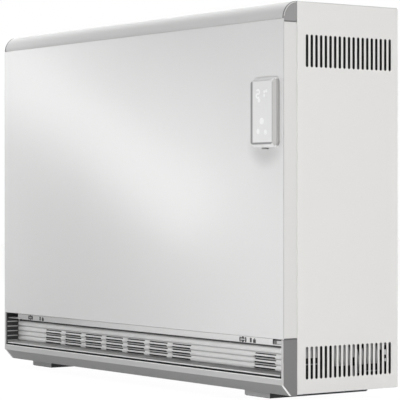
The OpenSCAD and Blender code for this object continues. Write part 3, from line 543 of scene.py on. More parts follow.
def fibrous(name, colour, stretch=(1.0, 1.0, 1.0)):
    """Pressed fibre: strands from a turned and stretched noise, over broader lumps."""
    material, tree, shader, place = started(name)
    swung = node(tree, "Mapping", Vector=place, Scale=stretch, Rotation=(0.3, 0.7, 0.5))
    strands = noise(tree, swung, 700.0, 6.0, 0.7, 1.6)
    lumps = noise(tree, place, 60.0, 3.0)
    tone = toned(tree, strands, colour, 0.72, 1.12)
    feed(shader, Base_Color=two_colours(tree, lumps, tone, colour), Roughness=0.95,
         Normal=bumps(tree, sums(tree, "ADD", strands, lumps), 0.8, 0.5))
    return material


def fired_brick(name, colour):
    """Dense fired brick: dark and light patches, pale mineral specks and a rough surface."""
    material, tree, shader, place = started(name)
    specks = node(tree, "TexVoronoi", Vector=place, Scale=420.0).outputs["Distance"]
    grained = effect(tree, "Coating grain", Place=place, Grain=520.0, Patch=24.0)
    tone = toned(tree, grained.outputs["Patches"], colour, 0.7, 1.35)
    pale = ranged(tree, specks, 0.5, 0.0, 0.0, 0.16)
    feed(shader, Base_Color=two_colours(tree, pale, tone, SPECK_COLOUR), Roughness=0.9,
         Normal=bumps(tree, grained.outputs["Height"], 0.9, 0.4))
    return material


def scaled_steel(name, colour):
    """Heating-element sheath: steel with a heat tint that changes along the rod."""
    material, tree, shader, place = started(name)
    grained = effect(tree, "Coating grain", Place=place, Grain=700.0, Patch=14.0)
    tint = (colour[0] * 1.25, colour[1] * 1.05, colour[2] * 0.8)
    feed(shader, Metallic=0.8, Roughness=ranged(tree, grained.outputs["Height"], 0.35, 0.6),
         Base_Color=two_colours(tree, grained.outputs["Patches"], shade(colour, 0.6), tint))
    return material


def circuit_board(name, colour):
    """Solder mask: tracks as thin raised bands of a brick pattern, and round pads."""
    material, tree, shader, place = started(name)
    swung = node(tree, "Mapping", Vector=place, Rotation=(math.pi / 2, 0, 0.0))
    tracks = node(tree, "TexBrick", Vector=swung, Scale=110.0, Mortar_Size=0.06,
                  Brick_Width=1.3, Row_Height=0.4).outputs["Fac"]
    pads = node(tree, "TexVoronoi", Vector=place, Scale=190.0).outputs["Distance"]
    spots = ranged(tree, pads, 1.0, 0.0, 0.12, 0.16)
    tone = toned(tree, tracks, colour, 1.0, 1.9)
    feed(shader, Base_Color=two_colours(tree, spots, tone, SOLDER_COLOUR), Roughness=0.35,
         Normal=bumps(tree, tracks, 0.5, 0.05))
    return material


def touch_glass(name, colour, border, window):
    """Back-painted glass: pale paint inside a window (x0, x1, z0, z1), and round it a grey border
    that paints shade.
    """
    material, tree, shader, place = started(name)
    sides = [outside_mask(tree, place, axis, *ends, 0.3 * MM)
             for axis, ends in (("X", window[:2]), ("Z", window[2:]))]
    grained = effect(tree, "Coating grain", Place=place, Grain=300.0, Patch=30.0)
    paint = toned(tree, grained.outputs["Patches"], colour, 0.98, 1.02)
    feed(shader, Base_Color=two_colours(tree, sums(tree, "MAXIMUM", *sides), paint, border),
         Roughness=ranged(tree, grained.outputs["Height"], 0.26, 0.36), Specular_IOR_Level=0.35)
    return material


def lit_print(name, colour, glow):
    """White print that a lamp behind the glass lights a little unevenly."""
    material, tree, shader, place = started(name)
    tone = toned(tree, noise(tree, place, 160.0), colour, 0.94, 1.0)
    feed(shader, Base_Color=tone, Emission_Color=tone, Emission_Strength=glow, Roughness=0.4)
    return material


def mix_finishes(c):
    """Makes every finish of the heater once. A row of the coats is what coated takes: name,
    colour, roughness and its spread, patches, grain, depth, dust, then level, metal, coat."""
    grille = c.grille_grey
    coats = {
        "case_white": ("Panel powder coat", c.case_white, 0.26, 0.03, 0.008, 1500, 0.012, 0.05),
        "side_white": ("Side panel powder coat", c.side_white, 0.26, 0.03, 0.008, 1500, 0.012,
                       0.05),
        "front_white": ("Front plate powder coat", c.case_white, 0.24, 0.03, 0.008, 1500,
                        0.012, 0.05),
        "top_white": ("Top cover powder coat", c.top_white, 0.46, 0.04, 0.01, 1500, 0.014,
                      0.08, 0.35),
        "top_seam_shade": ("Top cover seam", shade(c.top_white, 0.86), 0.5, 0.04, 0.01, 1500, 0.014,
                     0.0, 0.3),
        "plate_edge_shade": ("Cut edge of the front plate", (0.5, 0.495, 0.495), 0.5, 0.08, 0.06,
                       1500, 0.02, 0.0),
        "cut_edge": ("Punched sheet edge", 0.05, 0.6, 0.08, 0.15, 1500, 0.03, 0.0),
        "strip_white": ("Corner strip paint", c.strip_white, 0.4, 0.05, 0.008, 1400, 0.012,
                        0.05),
        "rail_grey": ("Rail paint grey", c.rail_grey, 0.42, 0.05, 0.015, 1400, 0.015, 0.1),
        "rail_edge_highlight": ("Worn edge of the rail", (0.88, 0.88, 0.875), 0.35, 0.05, 0.04, 1400,
                      0.01, 0.0),
        "rail_low_shade": ("Lower face of the rail", shade(c.rail_grey, 0.45), 0.42, 0.05, 0.015,
                     1400, 0.015, 0.0),
        "cap_grey": ("Moulded end cap grey", c.cap_grey, 0.5, 0.06, 0.03, 1900, 0.03, 0.1),
        "cap_line": ("Upper end cap glint", 0.72, 0.3, 0.05, 0.02, 1900, 0.01, 0.0),
        "cap_rim": ("Upper end cap rim", c.cap_rim, 0.42, 0.05, 0.04, 1900, 0.02, 0.05),
        "cap_low": ("Lower end cap grey", shade(c.cap_grey, 0.65), 0.5, 0.06, 0.03, 1900, 0.03,
                    0.1),
        "cap_front": ("Lower end cap front", c.cap_front, 0.42, 0.05, 0.02, 1900, 0.02, 0.1),
        "cap_edge": ("Lower end cap edge", 0.86, 0.25, 0.05, 0.02, 1900, 0.01, 0.0, 0.5, 0.85),
        "inner_shade_dark": ("Dark cap liner", (0.035, 0.035, 0.036), 0.3, 0.05, 0.1, 900, 0.02, 0.0),
        # The moulding's grey is lighter on the ribs than on its lip and ledge: painted light that
        # lifts the ribs in their recess.
        "grille_grey": ("Moulded grille grey", grille, 0.48, 0.06, 0.02, 1800, 0.02, 0.12),
        "lip_grey": ("Lower lip of the grille", shade(grille, 0.885), 0.48, 0.06, 0.02, 1800,
                     0.02, 0.12),
        "ledge_white": ("Grille ledge", shade(grille, 0.955), 0.42, 0.05, 0.015, 1800, 0.015,
                        0.05),
        "ledge_shade": ("Shaded underside of the ledge", 0.09, 0.6, 0.05, 0.05, 1500, 0.02,
                        0.0, 0.25),
        "grille_shade": ("Shaded grille moulding", shade(grille, 0.44), 0.6, 0.06, 0.04, 1800,
                         0.02, 0.05, 0.25),
        "groove_shade": ("Shaded grille grooves", shade(grille, 0.74), 0.6, 0.06, 0.04, 1800,
                         0.02, 0.0, 0.25),
        "rib_valley_shade": ("Valleys between the ribs", shade(grille, 0.66), 0.6, 0.06, 0.04, 1800,
                       0.02, 0.0, 0.25),
        "shade_black": ("Blackened liner", 0.012, 0.8, 0.05, 0.1, 900, 0.03, 0.0),
        "latch_grey": ("Latch moulding", 0.06, 0.42, 0.05, 0.05, 1600, 0.02, 0.1),
        "mark_grey": ("Printed mark grey", 0.028, 0.5, 0.05, 0.05, 1200, 0.01, 0.0),
        "unit_grey": ("Control unit moulding", c.unit_grey, 0.36, 0.05, 0.015, 1600, 0.012,
                      0.03),
        "unit_shell": ("Control unit rear shell", c.unit_pale, 0.4, 0.05, 0.02, 1500, 0.015,
                       0.05),
        "unit_bezel": ("Control unit bezel", c.unit_pale, 0.36, 0.05, 0.015, 1600, 0.012, 0.03),
        "unit_low": ("Control unit lower bevel", 0.95, 0.3, 0.05, 0.01, 1600, 0.01, 0.0),
        "tab_grey": ("Release tab moulding", 0.2, 0.45, 0.05, 0.04, 1500, 0.02, 0.1),
        "foot_steel": ("Foot paint grey", c.foot_grey, 0.45, 0.06, 0.03, 1300, 0.02, 0.15),
        "pad_black": ("Rubber pad", (0.02, 0.02, 0.021), 0.72, 0.08, 0.15, 1100, 0.06, 0.2),
        "dark_plastic": ("Black moulding", (0.035, 0.036, 0.038), 0.5, 0.08, 0.1, 1500, 0.03,
                         0.2),
        "bracket_grey": ("Dull zinc bracket", 0.3, 0.5, 0.08, 0.1, 900, 0.02, 0.1),
        "ivory_plastic": ("Ivory moulding", (0.74, 0.7, 0.58), 0.42, 0.06, 0.03, 1400, 0.02,
                          0.15),
        "red_plastic": ("Red button moulding", (0.5, 0.03, 0.025), 0.3, 0.05, 0.05, 900, 0.01,
                        0.1, 0.5, 0.0, 0.3),
        "lead_red": ("Silicone lead", (0.36, 0.035, 0.03), 0.55, 0.06, 0.08, 1200, 0.02, 0.15),
        "bronze": ("Sintered bronze", (0.5, 0.34, 0.17), 0.4, 0.1, 0.12, 1600, 0.03, 0.1, 0.5,
                   0.9),
        "screw_steel": ("Screw plating", (0.62, 0.62, 0.6), 0.32, 0.08, 0.06, 1500, 0.01, 0.1,
                        0.5, 0.95),
    }
    FINISH.update({key: coated(*row) for key, row in coats.items()})
    FINISH.update(
        zinc_steel=galvanised("Zinc-coated steel", (0.55, 0.56, 0.58)),
        board_white=fibrous("Hard insulation board", (0.7, 0.67, 0.6)),
        blanket_white=fibrous("Fibre insulation", (0.76, 0.74, 0.68), (1.0, 0.25, 1.0)),
        filter_black=fibrous("Black filter mat", (0.008, 0.008, 0.008)),
        brick_brown=fired_brick("Fired storage brick", (0.11, 0.075, 0.055)),
        element_steel=scaled_steel("Element sheath", (0.34, 0.34, 0.35)),
        board_green=circuit_board("Circuit board", (0.02, 0.16, 0.07)),
        print_white=lit_print("Lit white print", (0.95, 0.955, 0.96), 0.17))


# ---- Settings ----

def size(name, description, default, low=0.0, high=1.0):
    """A length that the user may change."""
    return FloatProperty(name=name, description=description, default=default, min=low,
                         max=high, unit="LENGTH", subtype="DISTANCE", precision=4)


def colour(name, description, default):
    """A finish's colour that the user may change."""
    return FloatVectorProperty(name=name, description=description, default=default, size=3,
                               min=0.0, max=1.0, subtype="COLOR")


class HeaterColours(PropertyGroup):
    """Colours of the outer finishes."""
    case_white: colour("Case", "Powder coat of the panels and the top", (0.8, 0.8, 0.798))
    side_white: colour("Side panels", "Powder coat of the side panels", (0.8, 0.79, 0.775))
    top_white: colour("Top cover", "Powder coat of the top cover", (0.77, 0.77, 0.768))
    strip_white: colour("Corner strips", "Paint of the two front uprights", (0.73, 0.723, 0.709))
    cap_grey: colour("End caps", "Moulded caps above and below the strips", (0.285, 0.28, 0.28))
    cap_rim: colour("Upper cap rim", "Rounded rims of the upper end caps", (0.15, 0.148, 0.148))
    rail_grey: colour("Bottom rail", "Paint of the folded rail", (0.58, 0.58, 0.58))
    grille_grey: colour("Outlet grille", "Moulded ledge and ribs", (0.86, 0.86, 0.857))
    foot_grey: colour("Feet", "Paint of the folded foot brackets", (0.44, 0.44, 0.44))
    cap_front: colour("Lower cap front", "Front faces of the lower end caps", (0.6, 0.6, 0.6))
    unit_grey: colour("Control unit sides", "Side bevels of the control unit", (0.5, 0.495, 0.49))
    unit_pale: colour("Control unit frame", "Upper and lower bevels of the control unit",
                      (0.78, 0.78, 0.78))
    unit_shell: colour("Control unit shell", "Rear shell of the control unit", (0.36, 0.355, 0.35))
    glass_grey: colour("Touch glass", "Paint behind the glass", (0.85, 0.85, 0.85))


class HeaterSizes(PropertyGroup):
    """Sizes that the CAD model's boxes don't give."""
    plate: size("Front plate", "Sheet of the front panel", 0.0015, 0.0008, 0.003)
    sheet: size("Case sheet", "Sheet of the other panels", 0.0012, 0.0008, 0.0015)
    bend: size("Bend radius", "Outer radius of the folded corners", 0.0012, 0.0003, 0.0015)
    nose: size("Nose radius", "Quarter round along the top front edge", 0.03, 0.02, 0.031)
    cap_width: size("Lower cap width", "How much of the width a bottom cap takes", 0.006,
                    0.004, 0.01)
    slot_pitch: size("Slot pitch", "From slot to slot on the side panels", 0.0101, 0.008, 0.02)
    slot_width: size("Slot width", "Width of a side slot", 0.0054, 0.002, 0.006)
    slot_length: size("Slot length", "Height of a side slot", 0.0546, 0.02, 0.08)
    slot_low: size("Lower slots", "Height of the lower slots' middle", 0.069, 0.05, 0.2)
    slot_high: size("Upper slots", "Height of the upper slots' middle", 0.59, 0.4, 0.62)
    slots: IntProperty(name="Slots", description="Slots in a row", default=19, min=2, max=19)
    rib_pitch: size("Rib pitch", "From rib to rib on the grille", 0.00965, 0.006, 0.0098)
    rib_bulge: size("Rib bulge", "How far a rib stands forward", 0.0032, 0.001, 0.004)
    vent_width: size("Vent width", "Length of the gaps in a group", 0.06, 0.02, 0.07)
    vent_pitch: size("Vent pitch", "From group to group along the grille", 0.0742, 0.05, 0.1)


def sizes():
    """The scene's sizes."""
    return bpy.context.scene.heater_sizes


# ---- Pieces ----

def depth(mm):
    """A place this many millimetres behind the front plate's face."""
    return FRONT_Y + mm * MM


PANEL_LOW, PANEL_HIGH = corners("front_panel")
HALF_W, FRONT_Y, PANEL_Z = PANEL_HIGH[0], PANEL_LOW[1], PANEL_LOW[2]
TOP_Z = corners("top_cover")[1][2]
REAR_Y = corners("right_side_panel")[1][1]
STRIP_Y = corners("right_front_post")[1][1]
BASE_Z = corners("bottom_rail")[0][2]
RIB_Z = corners("outlet_grille")[0][2] + 7.9 * MM
LEDGE_Y, LEDGE_Z = depth(5), PANEL_Z - 11.5 * MM
FOLD_SHEET = 1.5 * MM
CHAMFER_IN, CHAMFER_Z = 16.5, BASE_Z + 18.5 * MM
FIRST_SLOT, TUCK = 50, 1.55
PRINT_OUT, PRINT_IN = 0.12 * MM, 0.1 * MM
SIDES = ((1, "right"), (-1, "left"))


class HEATER_OT_finishes(Operator):
    """Mixes the finishes that every piece takes"""
    bl_idname = "heater.finishes"
    bl_label = "Finishes"

    def execute(self, context):
        c = context.scene.heater_colours
        mix_finishes(c)
        # Painted shade: the top cover darkens down the nose towards its lower edge, and back along
        # the flat top.
        faded(FINISH["top_white"], shade(c.top_white, 0.83), "Z", TOP_Z - 4 * MM, TOP_Z - 18 * MM)
        faded(FINISH["top_white"], shade(c.top_white, 0.78), "Y", depth(32), depth(90))
        # Painted light: the grille moulding turns lighter towards the left end.
        faded(FINISH["grille_grey"], shade(c.grille_grey, 1.08), "X", -0.15, -0.44)
        # Painted shade: the ledge darkens towards the left end.
        faded(FINISH["ledge_white"], shade(c.grille_grey, 0.62), "X", 0.0, -0.44)
        # Painted shade: the shaded faces of the grille darken further towards the right.
        faded(FINISH["grille_shade"], shade(c.grille_grey, 0.29), "X", -0.1, 0.3)
        # Painted shade: the lower caps turn much darker along their top, at the front plate's lower
        # edge.
        cap_top = corners("bottom_right_cap")[1][2]
        faded(FINISH["cap_low"], shade(c.cap_grey, 0.3), "Z", cap_top - 3 * MM, cap_top - 1.5 * MM)
        # Painted shadow: the front plate darkens in a soft ellipse under the control unit.
        low, high = corners("unit_housing")
        painted_shade_ellipse(FINISH["front_white"], shade(c.case_white, 0.79),
               (low[0] + high[0]) / 2 - 5 * MM, low[2] + 2 * MM, 56 * MM, 44 * MM)
        return {"FINISHED"}


class HEATER_OT_front_panel(Operator):
    """Folds the front panel: a plate with a flange along its lower edge"""
    bl_idname = "heater.front_panel"
    bl_label = "Front panel"

    def execute(self, context):
        s = sizes()
        line = folded([(PANEL_HIGH[1], PANEL_Z), (FRONT_Y, PANEL_Z, s.bend),
                       (FRONT_Y, PANEL_HIGH[2])])
        inner = HALF_W - s.cap_width - 0.4 * MM
        stops = np.array([-HALF_W, -inner, inner, HALF_W])
        keep = np.ones((len(line) - 1, 3), bool)
        keep[0, [0, 2]] = False
        # The plate's edges are mid grey: painted shade in the gap beside the corner strips.
        piece("front_panel_plate", [sheet_line(line, stops, "X", keep)], "front_white",
              ["front_panel"], "case_white", outside=(0, -1, 0), thick=s.plate, edge=0.2 * MM,
              rim="plate_edge_shade")
        return {"FINISHED"}


class HEATER_OT_top_cover(Operator):
    """Rolls the top cover: a flange tucked in, a quarter-round nose, a flat and a rear fold"""
    bl_idname = "heater.top_cover"
    bl_label = "Top cover"

    def execute(self, context):
        s = sizes()
        low = corners("top_cover")[0]
        nose_z = TOP_Z - s.nose
        fine, full = math.pi - 0.24, math.pi / 2
        nose = np.concatenate([arc(math.pi, fine, 10, s.nose)[:-1], arc(fine, full, 22, s.nose)])
        inwards = TUCK * MM * np.clip(1 - nose[:, 1] / (9 * MM), 0, 1) ** 2
        nose += (FRONT_Y + s.nose, nose_z)
        nose[:, 0] += inwards
        tuck = np.array([(depth(TUCK), low[2]), (depth(TUCK), nose_z - 0.2 * MM)])
        back = folded([(depth(60), TOP_Z), (REAR_Y - 0.8 * MM, TOP_Z, s.bend),
                       (REAR_Y - 0.8 * MM, TOP_Z - 15 * MM)])
        line = np.concatenate([tuck, nose, back])
        post = corners("right_front_post")[0][0] - MM
        cap = corners("top_right_cap")[0][0] + 8 * MM
        stops = np.array([-HALF_W, -cap + 1.5 * MM, -post, post, cap, HALF_W])
        y_mid, z_mid = ((line[1:] + line[:-1]) / 2).T
        keep = np.ones((len(line) - 1, 5), bool)
        keep[:, [0, 4]] = ((y_mid > depth(29.5)) & (y_mid < REAR_Y - 2.5 * MM))[:, None]
        keep[:, [1, 3]] = (z_mid > nose_z - 0.1 * MM)[:, None]
        cover = piece("top_cover_sheet", [sheet_line(line, stops, "X", keep)],
                      "top_white", ["top_cover"], "case_white", outside=(0, -1, 1),
                      thick=s.sheet, edge=0.3 * MM, angle=50)
        # Painted shade: the lowest 3 mm of the nose, over its seam with the front plate, take a
        # darker copy of the cover's colour.
        refinished(cover, "top_seam_shade", lambda at, way: (at.y < depth(3)) & (at.z < nose_z + 3 * MM))
        return {"FINISHED"}


class HEATER_OT_side_panels(Operator):
    """Punches and bends the two side panels with their rows of upright slots"""
    bl_idname = "heater.side_panels"
    bl_label = "Side panels"

    def execute(self, context):
        s = sizes()
        for side, name in SIDES:
            low, high = corners(name + "_side_panel")
            y0, bend = low[1], 1.5 * MM
            line = folded([(side * (HALF_W - 8 * MM), y0), (side * HALF_W, y0, bend),
                           (side * HALF_W, REAR_Y)])[1:]
            start = np.linalg.norm(np.diff(line[:6], axis=0), axis=1).sum()
            first = depth(FIRST_SLOT) - (y0 + bend) + start
            slots = first + s.slot_pitch * np.arange(s.slots)
            parts = slotted(line, slots, low[2] + 2 * MM, high[2],
                            [s.slot_low, s.slot_high],
                            s.slot_width / 2, (s.slot_length - s.slot_width) / 2, "Z")
            # The slots' walls and the sheet's cut edges are black: painted shade.
            piece(name + "_side_sheet", parts, "side_white", [name + "_side_panel"],
                  "case_white", outside=(side, 0, 0), thick=s.sheet, edge=0.15 * MM, rim="cut_edge")
            flange_x = sorted((side * (HALF_W - 14 * MM), side * (HALF_W - bend)))
            back_x = sorted((side * (HALF_W - 14 * MM), side * (HALF_W - s.sheet)))
            piece(name + "_side_flanges",
                  [block(*flange_x, y0, y0 + s.sheet, PANEL_Z, high[2] - 0.3 * MM),
                   block(*back_x, REAR_Y - 4.4 * MM, REAR_Y - 3.2 * MM, 19 * MM, high[2])],
                  "case_white", edge=0.25 * MM)
        return {"FINISHED"}


# What shows through the lower right slots: from and to which slot, counted from 0 as the
# camera sees them, and the lowest and highest millimetre from the slots' middle. The camera
# looks in at SIGHT_SLOPE, and what lies beyond LAST_PLATES is pale.
LEANING_PLATES = ((-0.4, 2.4, 7, 27.5), (-0.4, 2.4, -4, -2.5), (5.6, 9.4, -9, 27.5),
                  (9.6, 10.4, 4, 27.5), (9.6, 10.4, -27.5, -10), (10.6, 11.4, -23, 17),
                  (11.6, 12.4, -9, 18), (12.6, 15.4, -8.5, 27.5), (12.6, 15.4, -21, -19.5),
                  (15.6, 16.4, 14, 27.5), (16.6, 17.4, 21, 27.5), (16.6, 17.4, 5, 14),
                  (16.8, 17.4, -6, -1))
SLOT_REACH, SIGHT_SLOPE, LAST_PLATES = 27.5, 0.71, 17.3


class HEATER_OT_vent_shade_mats(Operator):
    """Lays a black mat behind each row of slots, painted shade for the inside of the case, and
    leaning plates before one
    """
    bl_idname = "heater.vent_filters"
    bl_label = "Vent shade mats"

    def execute(self, context):
        s = sizes()
        for side, name in SIDES:
            # Painted shade: black mats behind the slots.
            set_in = (17 if side > 0 else 8) * MM
            x = mirrored((HALF_W - set_in - 0.5 * MM, HALF_W - set_in), side)
            parts = [block(*x, depth(31.5), REAR_Y - 5 * MM, z - 36 * MM, z + 36 * MM)
                     for z in (s.slot_low, s.slot_high)]
            piece(name + "_vent_shade_mats", parts, "filter_black", slot="dark_plastic")
        parts, deep, near = [], HALF_W - 15 * MM, HALF_W - 2.6 * MM
        for a, b, z0, z1 in LEANING_PLATES:
            fall = (near - deep) * (z1 - z0) / (2 * SLOT_REACH)
            out = near - (near - deep) * (z0 + SLOT_REACH) / (2 * SLOT_REACH)
            aside = SIGHT_SLOPE * (HALF_W - out + fall / 2)
            y0, y1 = (depth(FIRST_SLOT) + f * s.slot_pitch + aside for f in (a, b))
            z0, z1 = s.slot_low + z0 * MM, s.slot_low + z1 * MM
            outline = np.array([(out - 0.8 * MM, z0), (out, z0), (out - fall, z1),
                                (out - fall - 0.8 * MM, z1)])
            parts.append(bar(outline, y0, y1, "Y"))
        plates = piece("right_vent_brackets", parts, "bracket_grey", slot="zinc_steel",
                       edge=0.2 * MM)
        refinished(plates, "case_white", lambda at, way: (
            at.y > depth(FIRST_SLOT) + LAST_PLATES * s.slot_pitch) & (at.z < s.slot_low + 16 * MM))
        return {"FINISHED"}


class HEATER_OT_corner_strips(Operator):
    """Folds the uprights behind the front corners; their outer legs are the strips"""
    bl_idname = "heater.corner_strips"
    bl_label = "Corner strips"

    def execute(self, context):
        s = sizes()
        for side, name in SIDES:
            low, high = corners(name + "_front_post")
            inner = HALF_W - 24 * MM
            line = folded([(side * inner, low[1]), (side * HALF_W, low[1], s.bend),
                           (side * HALF_W, STRIP_Y, s.bend), (side * (HALF_W - 14 * MM), STRIP_Y)])
            piece(name + "_corner_strip", [sheet_line(line, [low[2], high[2]], "Z")],
                  "strip_white", [name + "_front_post"], outside=(side, 0, 0),
                  thick=s.sheet, edge=0.3 * MM)
        return {"FINISHED"}


class HEATER_OT_end_caps(Operator):
    """Moulds the four end caps: quarter-round ones above, chamfered ones below"""
    bl_idname = "heater.end_caps"
    bl_label = "End caps"

    def execute(self, context):
        self.upper(sizes())
        self.lower(sizes())
        return {"FINISHED"}

    def upper(self, s):
        """Quarter-round caps: a rim at the side, a core under the cover, a pale line along the arc
        that paints a highlight, and a dark line under the cap that paints shade.
        """
        nose_z = TOP_Z - s.nose
        round_top = arc(math.pi, math.acos(-1 * MM / s.nose), 25)
        centre = np.array([FRONT_Y + s.nose, nose_z])
        back, skirt = STRIP_Y, nose_z - 5.5 * MM
        outer = np.concatenate([
            centre + s.nose * round_top,
            np.array([(back, skirt + 3 * MM), (back - 3 * MM, skirt), (depth(1.8), skirt),
                      (depth(1.8), nose_z)])])
        inner = np.concatenate([
            centre + (s.nose - 1.5 * MM) * round_top[3:],
            np.array([(back, nose_z + 4 * MM), (depth(2.2), nose_z + 4 * MM)])])
        for side, name in SIDES:
            edge = HALF_W - (3 if side > 0 else 4.5) * MM
            cap = piece("top_%s_end_cap" % name,
                        [side_bar(outer, edge, HALF_W - 0.35 * MM, side),
                         side_bar(inner, HALF_W - 11 * MM, edge, side)],
                        "cap_grey", ["top_%s_cap" % name], edge=0.5 * MM, segments=3)
            refinished(cap, "cap_rim", lambda at, way: (np.abs(way.x) < 0.5)
                       & (way.z - way.y > 0.3))
            arcs = [centre + (s.nose - r * MM) * round_top[2:-1] for r in (1.1, 2.1)]
            below = np.array([(depth(2.4), skirt + 0.2 * MM),
                              (back - 3.2 * MM, skirt + 0.2 * MM),
                              (back - 2.2 * MM, skirt + 2 * MM), (depth(2.4), skirt + 2 * MM)])
            lines = piece("top_%s_cap_lines" % name,
                          [side_bar(line, HALF_W - MM, HALF_W, side)
                           for line in (banana(*arcs), below)],
                          "cap_line", slot="cap_grey", edge=0.15 * MM, segments=1)
            # Painted shade: the line under the cap takes the dark rim colour.
            refinished(lines, "cap_rim", lambda at, way: at.z < nose_z)

    def lower(self, s):
        """Chamfered caps with a ridge beside each rib, and a black sheet on the inside that paints
        shade.
        """
        chamfer = ringed([(FRONT_Y, CHAMFER_Z, 2 * MM),
                          (depth(CHAMFER_IN), BASE_Z, 2 * MM), (STRIP_Y, BASE_Z, 0.8 * MM),
                          (STRIP_Y, PANEL_Z + 1.6 * MM, 0.8 * MM),
                          (depth(1.8), PANEL_Z + 1.6 * MM), (depth(1.8), PANEL_Z - 0.4 * MM),
                          (FRONT_Y, PANEL_Z - 0.4 * MM, 0.4 * MM)])
        # Painted shade: a black sheet lines the inner face of each cap.
        inner_shade = ringed([(depth(2.2), BASE_Z + 19.5 * MM), (depth(16), BASE_Z + 4 * MM),
                        (STRIP_Y - 1.5 * MM, BASE_Z + 4 * MM),
                        (STRIP_Y - 1.5 * MM, PANEL_Z - 2 * MM), (depth(2.2), PANEL_Z - 2 * MM)], 1)
        ridge = np.array([(0, -1.1), (-0.7, -0.8), (-1.1, 0), (-0.7, 0.8), (0, 1.1)]) * MM
        edge = HALF_W - s.cap_width
        for side, name in SIDES:
            parts = [side_bar(chamfer, edge, HALF_W, side)]
            for z in RIB_Z + np.arange(5) * s.rib_pitch:
                parts.append(bar((ridge + (edge, z)) * (side, 1), depth(3), STRIP_Y - 2 * MM, "Y"))
            piece("bottom_%s_cap_liner" % name, [side_bar(inner_shade, edge - 0.3 * MM, edge, side)],
                  "inner_shade_dark", slot="dark_plastic", edge=0.1 * MM, segments=1)
            cap = piece("bottom_%s_end_cap" % name, parts, "cap_low",
                        ["bottom_%s_cap" % name], "cap_grey", edge=0.6 * MM, segments=3, angle=35)
            # The front faces and the ridges on the inner face take the pale front colour; on the
            # ridges it is a painted highlight.
            refinished(cap, "cap_front", lambda at, way: (
                (way.y < -0.97) & (at.y < depth(1))) | (np.abs(at.x) < edge - 0.05 * MM))
            # Painted highlight: the chamfer faces take a pale, metallic finish.
            refinished(cap, "cap_edge", lambda at, way: (way.y < -0.3)
                       & (way.z < -0.3) & (at.y < depth(17)))


class HEATER_OT_bottom_rail(Operator):
    """Folds the rail along the bottom: lip, front, chamfer and a flange under the floor"""
    bl_idname = "heater.bottom_rail"
    bl_label = "Bottom rail"

    def execute(self, context):
        s = sizes()
        low, high = corners("bottom_rail")
        line = folded([(depth(10), high[2]), (FRONT_Y, high[2], s.bend),
                       (FRONT_Y, CHAMFER_Z, s.bend), (depth(CHAMFER_IN), BASE_Z, s.bend),
                       (high[1], BASE_Z)])
        rail = piece("bottom_rail_fold", [sheet_line(line, [low[0], 0, high[0]], "X")],
                     "rail_grey", ["bottom_rail"], outside=(0, -1, -1), thick=FOLD_SHEET,
                     edge=0.3 * MM, angle=50)
        # Painted highlight: the rail's upper fold, where it faces up, is near white.
        refinished(rail, "rail_edge_highlight", lambda at, way: (way.z > 0.15) & (at.y < depth(1.2)))
        # Painted shade: the rail's top flange, down in the gap under the grille's lip, is black.
        refinished(rail, "shade_black", lambda at, way: (way.z > 0.9) & (at.y > depth(1.2)))
        # Painted shade: the rail's faces that look down are darker.
        refinished(rail, "rail_low_shade", lambda at, way: (way.z < -0.3) & (at.z < BASE_Z + 18 * MM))
        seal = ringed([(depth(23), 19 * MM), (depth(29), 19 * MM, MM),
                       (depth(27), high[2] + 2.4 * MM, MM), (depth(25), high[2] + 2.4 * MM, MM)], 3)
        piece("outlet_seal", [bar(seal, low[0] + 2 * MM, high[0] - 2 * MM, "X")],
              "pad_black", edge=0.2 * MM)
        return {"FINISHED"}


WEB_Y, RIB_Y, LIP_BACK, LIP_Y = (depth(mm) for mm in (36, 31, 9, 3))
LIP_HIGH, LIP_SHORT = 2.2 * MM, 6.2 * MM
NOTCH_RIGHT, NOTCH_LEFT = 28 * MM, 38 * MM
FIRST_VENTS, LAST_VENT, VENT_SHIFT = -319 * MM, 375 * MM, 1.5 * MM
GAP_OVER, GAP_UNDER = (1.5 * MM, 3.5 * MM), (-4.4 * MM, -1.4 * MM)


def ribbed(middles, pitch, bulge):
    """Line over the ribs: y = RIB_Y + r - bulge - sqrt(r^2 - dz^2) about each middle, where
    r = (h^2 + bulge^2) / (2 bulge) is the radius through a rib's ends and h is half a pitch."""
    half = pitch / 2
    radius = (half * half + bulge ** 2) / (2 * bulge)
    across = np.array([half, 0.44 * pitch, GAP_OVER[1], 2.5 * MM, GAP_OVER[0], 0.8 * MM, 0,
                       -0.7 * MM, GAP_UNDER[1], -2.4 * MM, -3.4 * MM, GAP_UNDER[0],
                       -0.485 * pitch])
    y = RIB_Y + radius - bulge - np.sqrt(radius ** 2 - np.tile(across, len(middles)) ** 2)
    return np.stack([y, (middles[:, None] + across).ravel()], 1)


